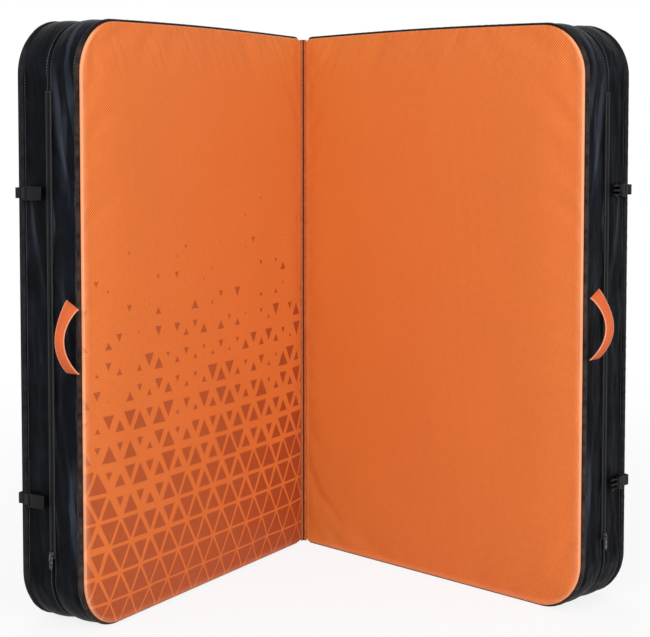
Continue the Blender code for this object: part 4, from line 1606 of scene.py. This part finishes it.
@dataclass
class Piping:
    """The wrapped cord in the seam between a cover and the side band."""

    half: Half
    strip: Strip
    spacing: float = 0.0035
    sides: int = 10
    pucker: float = 0.0004
    pucker_scale: float = 130.0
    spread: float = 0.0012
    wrap: float = 0.0014

    def build(self, rim: Outline) -> Piece:
        """Model the cord round the rim.

        Args:
            rim: The outline that it follows.

        Returns:
            The finished piece, in the frame.
        """
        part = f"piping_{self.strip.value}"
        low, high = self.half.span(part)
        radius = (high.y - low.y) / 2
        over_band = self.spread if self.strip is Strip.FRONT else -self.spread
        centre = (high.y + low.y) / 2 + over_band
        proud = high.x - rim.u_high - radius
        walk = rim.walk(self.spacing)
        rows = []
        places = []
        for side in range(self.sides + 1):
            angle = FULL_TURN * side / self.sides
            turned = 1.5 * math.sin(angle)
            row = []
            spots = []
            length = 0.0
            for step, (u, z, across, up) in enumerate(walk + walk[:1]):
                seed = self.half.side.value
                lumps = noise.noise(Vector((length * self.pucker_scale, turned, seed)))
                grown = radius + self.wrap + self.pucker * lumps
                out = proud + grown * math.cos(angle)
                if step < len(walk):
                    t = centre + (grown + self.spread) * math.sin(angle)
                    row.append(Vector((u + across * out, t, z + up * out)))
                spots.append((radius * angle, length))
                length += self.spacing
            rows.append(row)
            places.append(spots)
        piece = lattice(self.half.named(part) + "_cord", rows, places, closed=True)
        with edit_mode(piece):
            bpy.ops.mesh.remove_doubles(threshold=MILLIMETRE / 100)
        keep_above_floor(piece)
        self.half.settle(piece)
        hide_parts(self.half.named(part))
        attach(piece, self.half.body)
        return piece


@dataclass
class Cushion:
    """One half: its covers, side band, pipings and foam."""

    FOAMS: ClassVar[dict[str, Look]] = {"firm": Look.FIRM_FOAM, "core": Look.SOFT_FOAM,
                                        "base": Look.FIRM_FOAM}

    half: Half
    landing_crown: float = 0.005
    back_crown: float = 0.004
    taut: Settling = Settling(pressure=0.6, growth=0.004, cap=0.003)
    slack: Settling = Settling(pressure=1.2, growth=0.012, cap=0.003)

    def build(self, wardrobe: Wardrobe) -> None:
        """Build and dress the cushion.

        Args:
            wardrobe: The finished materials.
        """
        face = Look.PRINTED if self.half.side is Side.LEFT else Look.LANDING
        cover = PaddedPanel(self.half, "landing_cover", self.landing_crown, -1).build(self.taut)
        wardrobe.dress(cover, face)
        LOG.info("%s: crowned landing cover", cover.name)
        back = PaddedPanel(self.half, "back_panel", self.back_crown, 1).build(self.taut)
        wardrobe.dress(back, Look.BACK)
        LOG.info("%s: crowned back panel", back.name)
        rim = Outline.of(*self.half.span("back_panel"))
        for strip, cloth, tape in ((Strip.FRONT, Look.BAND, Look.BINDING),
                                   (Strip.BACK, Look.REAR_BAND, Look.EDGING)):
            band = SideBand(self.half, strip).build(rim, self.slack)
            wardrobe.dress(band, cloth)
            LOG.info("%s: side band", band.name)
            cord = Piping(self.half, strip).build(rim)
            wardrobe.dress(cord, tape)
            LOG.info("%s: piping", cord.name)
        for layer, look in self.FOAMS.items():
            wardrobe.fill(self.half.node(f"foam_{layer}"), look)


def run_lengths(run: Row) -> list[float]:
    """Measure how far along a run each of its points lies.

    Args:
        run: The points.

    Returns:
        One length for each point, the first one 0.
    """
    lengths = [0.0]
    for before, after in zip(run, run[1:]):
        lengths.append(lengths[-1] + (after - before).length)
    return lengths


@dataclass(frozen=True)
class FlatStrap:
    """Flat webbing, drawn along a run of points as one closed strap with softened edges.

    across goes from one edge of the webbing to the other, and waist is the share of the width that
    is left in the middle of its length. Edges past the angle sharp are rounded, and those below the
    angle smooth are shaded smooth. Both are in degrees.
    """

    across: Vector
    wall: float
    edge: float = 0.0005
    waist: float = 1.0
    sharp: float = 60.0
    smooth: float = 50.0

    def draw(self, name: str, run: Row) -> Piece:
        """Draw the strap.

        Args:
            name: The piece's name.
            run: The points that the middle of the webbing passes.

        Returns:
            The new piece, with its pattern laid out across and along the webbing, in metres.
        """
        bpy.ops.object.select_all(action="DESELECT")
        bpy.ops.mesh.primitive_plane_add(size=1)
        strap = bpy.context.object
        strap.name = name
        strap.data.name = name
        for corner, index in zip(strap.data.vertices, (0, 0, 1, 1)):
            corner.co = run[index] + (self.across / 2 if corner.co.x > 0 else -self.across / 2)
        with edit_mode(strap):
            bpy.context.tool_settings.mesh_select_mode = (True, False, False)
            bpy.ops.mesh.select_all(action="DESELECT")
        for corner in list(strap.data.vertices)[-2:]:
            corner.select = True
        bpy.ops.object.mode_set(mode="EDIT")
        for before, after in zip(run[1:], run[2:]):
            bpy.ops.mesh.extrude_region_move(TRANSFORM_OT_translate={"value": after - before})
        bpy.ops.object.mode_set(mode="OBJECT")
        self.lay_out(strap, run)
        for index, corner in enumerate(strap.data.vertices):
            share = (index // 2) / (len(run) - 1)
            kept = 1 - (1 - self.waist) * math.sin(HALF_TURN * share)
            middle = run[index // 2]
            corner.co = middle + (corner.co - middle) * kept
        modify(strap, "wall", "SOLIDIFY", thickness=self.wall, offset=0.0)
        soften_edges(strap, self.edge, self.sharp)
        apply_modifiers(strap)
        bpy.ops.object.shade_smooth_by_angle(angle=math.radians(self.smooth))
        return strap

    def lay_out(self, strap: Piece, run: Row) -> None:
        """Lay out a strap's pattern: across the webbing, and along it.

        Args:
            strap: The flat strap, whose points come in pairs along the run.
            run: The points that its middle passes.
        """
        lengths = run_lengths(run)
        pattern = []
        for loop in strap.data.loops:
            index = loop.vertex_index // 2
            corner = strap.data.vertices[loop.vertex_index].co
            side = (corner - run[index]).dot(self.across.normalized())
            pattern.append((side + self.across.length / 2, lengths[index]))
        lay_out(strap, pattern)


@dataclass(frozen=True)
class Softened:
    """A hard node's copy, with rounded edges and a finished material, in its node's place.

    slim is the share of the node's height that is kept, round its middle.
    """

    look: Look
    slot: str
    edge: float = 0.0003
    slim: float = 1.0
    sharp: float = 40.0

    def build(self, half: Half, part: str, body: str, wardrobe: Wardrobe) -> Piece:
        """Copy a node and finish it.

        Args:
            half: The half that the node belongs to.
            part: The node's name, without its side where it has one.
            body: The body that the copy rides on.
            wardrobe: The finished materials.

        Returns:
            The finished piece.
        """
        node = half.node(part)
        copy = add_object(node.name + "_moulding", node.data.copy())
        heights = [corner.co.z for corner in copy.data.vertices]
        middle = (0, 0, (min(heights) + max(heights)) / 2)
        with edit_mode(copy):
            bpy.ops.transform.resize(value=(1, 1, self.slim), center_override=middle)
            bpy.ops.mesh.remove_doubles(threshold=WELD)
            bpy.ops.mesh.dissolve_limited(angle_limit=math.radians(1))
        soften_edges(copy, self.edge, self.sharp)
        apply_modifiers(copy)
        bpy.ops.object.shade_smooth_by_angle(angle=math.radians(self.sharp))
        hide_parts(node.name)
        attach(copy, body)
        wardrobe.dress(copy, self.look)
        return copy


def joined(name: str, pieces: Sequence[Piece]) -> Piece:
    """Join small pieces into one.

    Args:
        name: The joined piece's name.
        pieces: The pieces, of which the first one stays.

    Returns:
        The joined piece.
    """
    select_only(pieces[0])
    for piece in pieces[1:]:
        piece.select_set(True)
    bpy.ops.object.join()
    pieces[0].name = name
    pieces[0].data.name = name
    return pieces[0]


@dataclass(frozen=True)
class Thread:
    """Sewing thread that lies on cloth in short stitches."""

    length: float = 0.0032
    pitch: float = 0.0042
    width: float = 0.00076
    height: float = 0.000608
    rounding: float = 0.000266

    def stitch(self) -> Piece:
        """Model one stitch along x, at the origin.

        Returns:
            The stitch.
        """
        bpy.ops.object.select_all(action="DESELECT")
        bpy.ops.mesh.primitive_cube_add(size=1)
        stitch = bpy.context.object
        with edit_mode(stitch):
            bpy.ops.transform.resize(value=(self.length, self.width, self.height))
            bpy.ops.mesh.bevel(offset=self.rounding, segments=1)
        return stitch

    def row(self, name: str, run: Row, normal: Vector) -> Piece:
        """Sew a row of stitches along a run of points.

        Args:
            name: The piece's name.
            run: The points that the row passes.
            normal: The direction that the stitches look in.

        Returns:
            The row, as one piece.
        """
        first = self.stitch()
        shape = [corner.co.copy() for corner in first.data.vertices]
        sides = [tuple(face.vertices) for face in first.data.polygons]
        bpy.data.objects.remove(first, do_unlink=True)
        points = []
        faces = []
        for before, after in zip(run, run[1:]):
            count = max(1, round((after - before).length / self.pitch))
            ahead = (after - before).normalized()
            turn = Matrix((ahead, normal.cross(ahead), normal)).transposed()
            for step in range(count):
                centre = before + (after - before) * (step + 0.5) / count
                start = len(points)
                points.extend(centre + turn @ corner for corner in shape)
                faces.extend(tuple(start + index for index in side) for side in sides)
        return add_mesh(name, points, faces)


@dataclass(frozen=True)
class Hang:
    """How one side's handle hangs: how far it stands out, to the front and low, and its waist."""

    reach: float
    forward: float
    drop: float
    waist: float


@dataclass
class CarryHandle:
    """A loop of orange webbing, sewn to the band at both ends.

    Its foot lies depth behind the grip's outer face. The reach and the root where its ends are sewn are
    measured out from there. bend_start and bend_end, where it would leave the cushion's body, are not
    used.
    """

    HANGS: ClassVar[dict[Side, Hang]] = {Side.LEFT: Hang(0.035, 0.010, 0.006, 0.76),
                                         Side.RIGHT: Hang(0.033, 0.0, 0.0005, 0.92)}

    half: Half
    width: float = 0.0245
    wall: float = 0.0022
    depth: float = 0.036
    span: float = 0.110
    fullness: float = 0.8
    slant: float = 0.55
    lower_slant_share: float = 0.15
    root: float = 0.0022
    bend_start: float = 0.010
    bend_end: float = 0.025
    steps: int = 44

    def build(self, wardrobe: Wardrobe) -> None:
        """Build and dress the handle.

        Args:
            wardrobe: The finished materials.
        """
        low, high = self.half.span("handle_grip")
        hang = self.HANGS[self.half.side]
        height = self.span / 2
        centre = (low + high) / 2 - Vector((0, hang.forward, hang.drop))
        centre.x = high.x - self.wall / 2 - self.depth
        run = []
        for step in range(self.steps + 1):
            share = 2 * step / self.steps - 1
            bulge = max(math.cos(QUARTER * share), 0) ** self.fullness
            out = self.root + (hang.reach - self.root) * bulge
            run.append(centre + Vector((out, 0, height * share)))
        strap = FlatStrap(Vector((0, -self.width, 0)), self.wall, waist=hang.waist)
        loop = strap.draw(self.half.named("handle_webbing"), run)
        for corner in loop.data.vertices:
            rise = (corner.co.z - centre.z) / height
            slant = self.slant * max(rise, -self.lower_slant_share * rise) ** 2
            corner.co.z += slant * (corner.co.y - centre.y)
        self.half.settle(loop)
        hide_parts(*(self.half.named(f"handle_{part}") for part in
                            ("grip", "neck_upper", "neck_lower")))
        self.half.named("handle")
        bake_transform(loop)
        wardrobe.dress(loop, Look.ORANGE_WEBBING)
        LOG.info("%s: carry handle", loop.name)


@dataclass
class Zip:
    """The zip along the middle of the outer end: tape, coil, slider and puller."""

    half: Half
    tape_wall: float = 0.0009
    tape_edge: float = 0.0002
    seam_share: float = 0.40
    tooth_pitch: float = 0.0021
    tooth_length: float = 0.0013
    tooth_width_share: float = 2.2
    tooth_bevel_share: float = 1 / 6
    tooth_sides: int = 8

    def build(self, wardrobe: Wardrobe) -> None:
        """Build and dress the zip.

        Args:
            wardrobe: The finished materials.
        """
        low, high = self.half.span("zip_tape")
        middle = (low.y + high.y) / 2
        width = high.y - low.y
        strap = FlatStrap(Vector((0, width, 0)), self.tape_wall, self.tape_edge)
        run = self.upright(low.x + self.tape_wall / 2, middle, low, high)
        tape = strap.draw(self.half.named("zip_tape_cloth"), run)
        self.half.settle(tape)
        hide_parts(self.half.named("zip_tape"))
        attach(tape, self.half.body)
        wardrobe.dress(tape, Look.BLACK_WEBBING)
        top = low.x + self.tape_wall
        coil = self.coil(top, high.x, middle, low.z, high.z)
        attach(coil, self.half.body)
        wardrobe.dress(coil, Look.PLASTIC)
        sewn = []
        for way in (-1, 1):
            run = self.upright(top, middle + way * self.seam_share * width, low, high)
            sewn.append(Thread().row("zip_stitches", run, Vector((1, 0, 0))))
        stitches = joined(self.half.named("zip_stitches"), sewn)
        self.half.settle(stitches)
        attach(stitches, self.half.body)
        wardrobe.dress(stitches, Look.THREAD)
        for part in ("zip_slider", "zip_puller"):
            Softened(Look.METAL, "zip_metal").build(self.half, part, self.half.named(part), wardrobe)
        LOG.info("%s: zip", tape.name)

    @staticmethod
    def upright(u: float, t: float, low: Vector, high: Vector) -> Row:
        """The two ends of a line that goes straight up the tape."""
        return [Vector((u, t, low.z)), Vector((u, t, high.z))]

    def coil(self, foot: float, top: float, middle: float, start: float, end: float) -> Piece:
        """Model the coil as a run of teeth, each copied from the first.

        Args:
            foot: Where the teeth stand, along u.
            top: How far out they reach.
            middle: Where they lie, along t.
            start: The coil's lower end.
            end: Its upper end.

        Returns:
            The coil.
        """
        rise = top - foot
        length = self.tooth_width_share * rise
        sides = self.tooth_sides
        bpy.ops.object.select_all(action="DESELECT")
        bpy.ops.mesh.primitive_cylinder_add(vertices=sides, radius=rise / 2, depth=length)
        coil = bpy.context.object
        with edit_mode(coil):
            bpy.ops.transform.rotate(value=QUARTER, orient_axis="X", center_override=(0, 0, 0))
            bpy.ops.mesh.bevel(offset=self.tooth_bevel_share * rise, segments=1)
            bpy.ops.transform.translate(value=(foot + rise / 2, middle, start + self.tooth_length))
        coil.data.shade_smooth()
        count = int((end - start - 2 * self.tooth_length) / self.tooth_pitch)
        modify(coil, "run", "ARRAY", use_relative_offset=False, use_constant_offset=True,
               constant_offset_displace=(0, 0, self.tooth_pitch), count=count)
        apply_modifiers(coil)
        coil.name = self.half.named("zip_coil")
        coil.data.name = coil.name
        self.half.settle(coil)
        return coil


@dataclass
class Closure:
    """One closure at the back edge of the outer end: sewn anchor, short strap and buckle half."""

    half: Half
    place: Place
    buckle_edge: float = 0.0004
    slim: float = 0.70

    def build(self, wardrobe: Wardrobe) -> None:
        """Build and dress the closure.

        Args:
            wardrobe: The finished materials.
        """
        place = self.place.value
        webbing = Softened(Look.STRAP, "black_webbing", slim=self.slim)
        webbing.build(self.half, f"closure_anchor_{place}", self.half.body, wardrobe)
        webbing.build(self.half, f"closure_strap_{place}", self.half.named(f"strap_{place}"), wardrobe)
        kind = "socket" if self.half.side is Side.LEFT else "prongs"
        buckle = Softened(Look.PLASTIC, "black_plastic", self.buckle_edge, self.slim)
        buckle.build(self.half, f"buckle_{kind}_{place}", self.half.named(f"buckle_{place}"), wardrobe)
        LOG.info("%s closure %s: anchor, strap and buckle", self.half.side.label, place)


@dataclass
class FoldSeam:
    """The landing fabric that runs from one cover into the fold and out to the other.

    Seen from above, it rolls over twice, once beside each cover, and meets in a slit.
    """

    left: Half
    right: Half
    start_u: float = 0.0024
    start_t: float = 0.0064
    rise: float = 0.0040
    lobe_steps: int = 9
    spacing: float = 0.004
    pucker: float = 0.0006
    pucker_scales: Pair = (300.0, 90.0)
    wall: float = 0.0006
    end_inset: float = 0.0015

    def build(self, wardrobe: Wardrobe) -> None:
        """Build and dress the seam.

        Args:
            wardrobe: The finished materials.
        """
        rim = Outline.of(*self.left.span("landing_cover"))
        bottom = rim.z_low + self.end_inset
        top = rim.z_high - self.end_inset
        profile = self.profile()
        widths = run_lengths(profile)
        across, up = self.pucker_scales
        count = round((top - bottom) / self.spacing)
        rows = []
        places = []
        for step in range(count + 1):
            z = bottom + (top - bottom) * step / count
            row = []
            for index, place in enumerate(profile):
                held = math.sin(HALF_TURN * index / (len(profile) - 1))
                lumps = noise.noise(Vector((across * place.x, up * z, 1.0)))
                row.append(Vector((place.x, place.y + self.pucker * lumps * held, z)))
            rows.append(row)
            places.append([(width, z) for width in widths])
        cloth = lattice("fold_seam_cloth", rows, places, closed=False)
        add_attribute(cloth, "slit", [abs(width - widths[-1] / 2) for width in widths] * len(rows))
        modify(cloth, "wall", "SOLIDIFY", thickness=self.wall, offset=-1.0)
        apply_modifiers(cloth)
        refine(cloth)
        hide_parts("fold_seam_roll")
        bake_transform(cloth)
        wardrobe.dress(cloth, Look.SEAM)
        LOG.info("%s: landing fabric in the fold", cloth.name)

    def profile(self) -> Row:
        """Draw the seam as seen from above.

        Returns:
            Its points, from the left cover to the right one.
        """
        start = self.left.matrix @ Vector((self.start_u, self.start_t, 0))
        end = self.right.matrix @ Vector((self.start_u, self.start_t, 0))
        slit = (start + end) / 2
        points = []
        for first, last in ((start, slit), (slit, end)):
            for step in range(self.lobe_steps + 1):
                share = step / self.lobe_steps
                forward = self.rise * math.sin(HALF_TURN * share)
                points.append(first.lerp(last, share) - Vector((0, forward, 0)))
        del points[self.lobe_steps]
        return points


@dataclass
class Harness:
    """The shoulder straps on the back of the left half."""

    PARTS: ClassVar[tuple[tuple[str, Look, str], ...]] = (
        ("ladder_lock", Look.PLASTIC, "black_plastic"),
        ("ladder_lock_holder", Look.STRAP, "black_webbing"),
        ("lower_webbing", Look.STRAP, "black_webbing"),
        ("lower_anchor", Look.PATCH, "black_webbing"),
    )

    half: Half
    yoke_edge: float = 0.0006
    stitch_inset: float = 0.005
    cell: float = 0.004
    quilt: float = 0.045
    quilt_depth: float = 0.0016
    channel: float = 0.0035
    fill: float = 0.7
    full: Settling = Settling(pressure=4.0, growth=0.0, cap=0.002, frames=12)

    def build(self, wardrobe: Wardrobe) -> None:
        """Build and dress the straps, their locks, their webbing and what sews them on.

        Args:
            wardrobe: The finished materials.
        """
        yoke = Softened(Look.PATCH, "black_webbing", self.yoke_edge)
        yoke.build(self.half, "harness_yoke", self.half.body, wardrobe)
        self.patch_stitches("harness_yoke", wardrobe)
        for place in ("inner", "outer"):
            wardrobe.dress(self.pad(f"shoulder_pad_{place}"), Look.BAND)
            for part, look, slot in self.PARTS:
                Softened(look, slot).build(self.half, f"{part}_{place}", self.half.body, wardrobe)
            self.patch_stitches(f"lower_anchor_{place}", wardrobe)
            LOG.info("shoulder strap %s: pad, lock, webbing and anchor", place)

    def patch_stitches(self, part: str, wardrobe: Wardrobe) -> None:
        """Sew a patch on: a box of stitches with a cross in it.

        Args:
            part: The patch's node.
            wardrobe: The finished materials.
        """
        low, high = self.half.span(part)
        left, right = low.x + self.stitch_inset, high.x - self.stitch_inset
        bottom, top = low.z + self.stitch_inset, high.z - self.stitch_inset
        corners = [Vector((u, high.y, z)) for u, z in
                   ((left, bottom), (right, bottom), (right, top), (left, top))]
        outwards = Vector((0, 1, 0))
        rows = [Thread().row("box", corners + corners[:1], outwards)]
        for first, last in zip(corners[:2], corners[2:]):
            rows.append(Thread().row("cross", [first, last], outwards))
        stitches = joined(f"{part}_stitches", rows)
        self.half.settle(stitches)
        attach(stitches, self.half.body)
        wardrobe.dress(stitches, Look.THREAD)

    def pad(self, part: str) -> Piece:
        """Model a quilted shoulder pad over its node's arch.

        Args:
            part: The pad's node.

        Returns:
            The finished piece.
        """
        pad = add_object(part + "_cloth", self.half.node(part).data.copy())
        with edit_mode(pad):
            bpy.ops.mesh.remove_doubles(threshold=WELD)
        modify(pad, "even", "REMESH", mode="VOXEL", voxel_size=self.cell)
        apply_modifiers(pad)
        add_pins(pad, [0.0] * len(pad.data.vertices))
        self.full.run(pad)
        self.quilted(pad)
        refine(pad)
        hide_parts(part)
        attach(pad, self.half.body)
        return pad

    def quilted(self, pad: Piece) -> None:
        """Sew channels across a pad and lay out its cloth.

        Args:
            pad: The pad, in the frame.
        """
        corners = pad.data.vertices
        normals = [corner.normal.copy() for corner in corners]
        seams = [abs((corner.co.z / self.quilt) % 1 - 0.5) * self.quilt for corner in corners]
        for corner, normal, off in zip(corners, normals, seams):
            sunk = math.exp(-((off / self.channel) ** 2))
            corner.co -= normal * self.quilt_depth * sunk
        back = self.half.matrix.inverted()
        places = [back @ corner.co for corner in corners]
        turned = [places[loop.vertex_index] for loop in pad.data.loops]
        lay_out(pad, [(place.x, place.z) for place in turned])
        add_attribute(pad, "seam", seams)
        add_attribute(pad, "run", [place.x for place in places])


@dataclass(frozen=True)
class Lamp:
    """A soft square lamp that looks at the middle of the pad. Its power is in watts."""

    name: str
    place: Triple
    size: float
    power: float

    def build(self) -> None:
        """Build the lamp."""
        data = bpy.data.lights.new(self.name, "AREA")
        data.size = self.size
        data.energy = self.power
        lamp = add_object(self.name, data)
        lamp.location = self.place
        aim = (CAD_BOX[0] + CAD_BOX[1]) / 2 - lamp.location
        lamp.rotation_euler = aim.to_track_quat("-Z", "Y").to_euler()


@dataclass(frozen=True)
class Studio:
    """A plain pale floor and background, soft lamps and the photograph's viewpoint.

    The camera sees blank_share of plain white in the floor as far as blank_start from the middle,
    and nothing but plain white from blank_end on. heading and tilt are in degrees.
    """

    LAMPS: ClassVar[tuple[Lamp, ...]] = (
        Lamp("key_lamp", (-1.7, -3.8, 2.6), 2.4, 94.0),
        Lamp("fill_lamp", (2.0, -3.7, 1.5), 2.4, 67.0),
        Lamp("back_lamp", (0.4, 3.2, 2.8), 2.0, 24.0),
    )

    white: Colour = (1.0, 1.0, 1.0, 1.0)
    pale: Colour = (0.86, 0.86, 0.86, 1.0)
    floor_size: float = 16.0
    blank_start: float = 0.8
    blank_end: float = 2.6
    blank_share: float = 0.84
    ambient: float = 0.62
    lens: float = 83.7
    place: Triple = (-0.324, -2.705, 0.826)
    heading: float = -7.13
    tilt: float = -3.16
    shift_y: float = -0.17

    def build(self) -> None:
        """Build the floor, the background, the lamps and the camera."""
        bpy.context.scene.view_settings.view_transform = "Standard"
        self.floor()
        self.sky()
        for lamp in self.LAMPS:
            lamp.build()
        self.camera()

    def floor(self) -> None:
        """Build the floor, pale for the camera and with the object's shadow."""
        bpy.ops.object.select_all(action="DESELECT")
        bpy.ops.mesh.primitive_plane_add(size=self.floor_size)
        floor = bpy.context.object
        floor.name = "studio_floor"
        material = bpy.data.materials.new("studio_floor")
        material.use_nodes = True
        nodes = material.node_tree.nodes
        paint = Paint(material.node_tree)
        shader = nodes["Principled BSDF"]
        shader.inputs["Base Color"].default_value = self.pale
        shader.inputs["Roughness"].default_value = 1.0
        shader.inputs["Specular IOR Level"].default_value = 0.0
        glow = paint.node("ShaderNodeEmission", {"Color": self.white})
        away = paint.node("ShaderNodeVectorMath", {0: paint.object_place()}, operation="LENGTH")
        blank = paint.ramp(away.outputs["Value"], self.blank_start, self.blank_end, self.blank_share)
        self.blend(paint, nodes["Material Output"], paint.times(self.seen(paint), blank), shader, glow)
        floor.data.materials.append(material)

    def sky(self) -> None:
        """Build the world: an even light, and white where the camera sees it."""
        world = bpy.data.worlds.new("studio_sky")
        bpy.context.scene.world = world
        world.use_nodes = True
        nodes = world.node_tree.nodes
        paint = Paint(world.node_tree)
        light = nodes["Background"]
        light.inputs["Color"].default_value = self.white
        light.inputs["Strength"].default_value = self.ambient
        backdrop = paint.node("ShaderNodeBackground", {"Color": self.white, "Strength": 1.0})
        self.blend(paint, nodes["World Output"], self.seen(paint), light, backdrop)

    @staticmethod
    def seen(paint: Paint) -> Socket:
        """Find whether the camera sees a surface, by itself, in a gloss or through glass.

        Args:
            paint: The wiring.

        Returns:
            1 where it does, else 0.
        """
        path = paint.node("ShaderNodeLightPath").outputs
        direct = paint.math("MAXIMUM", path["Is Camera Ray"], path["Is Glossy Ray"])
        return paint.math("MAXIMUM", direct, path["Is Transmission Ray"])

    @staticmethod
    def blend(paint: Paint, output: bpy.types.Node, share: Socket, first: bpy.types.Node,
              second: bpy.types.Node) -> None:
        """Feed an output with two shaders.

        Args:
            paint: The wiring.
            output: The output node.
            share: How much of the second shader.
            first: The first shader.
            second: The second shader.
        """
        sources = {0: share, 1: first.outputs[0], 2: second.outputs[0]}
        paint.feed(output.inputs[0], paint.node("ShaderNodeMixShader", sources).outputs[0])

    def camera(self) -> None:
        """Build the camera at the photograph's viewpoint."""
        data = bpy.data.cameras.new("photo_camera")
        data.lens = self.lens
        data.shift_y = self.shift_y
        camera = add_object("photo_camera", data)
        camera.location = self.place
        camera.rotation_euler = (QUARTER + math.radians(self.tilt), 0, math.radians(self.heading))
        bpy.context.scene.camera = camera


def main() -> None:
    """Build the studio and then the pad, one sub-assembly after another."""
    logging.basicConfig(level=logging.INFO, format="%(name)s: %(message)s")
    Studio().build()
    wardrobe = Wardrobe.build()
    halves = {side: Half.from_frame(side) for side in Side}
    for half in halves.values():
        Cushion(half).build(wardrobe)
        CarryHandle(half).build(wardrobe)
        Zip(half).build(wardrobe)
        for place in Place:
            Closure(half, place).build(wardrobe)
    FoldSeam(halves[Side.LEFT], halves[Side.RIGHT]).build(wardrobe)
    Harness(halves[Side.LEFT]).build(wardrobe)


if __name__ == "__main__":
    main()
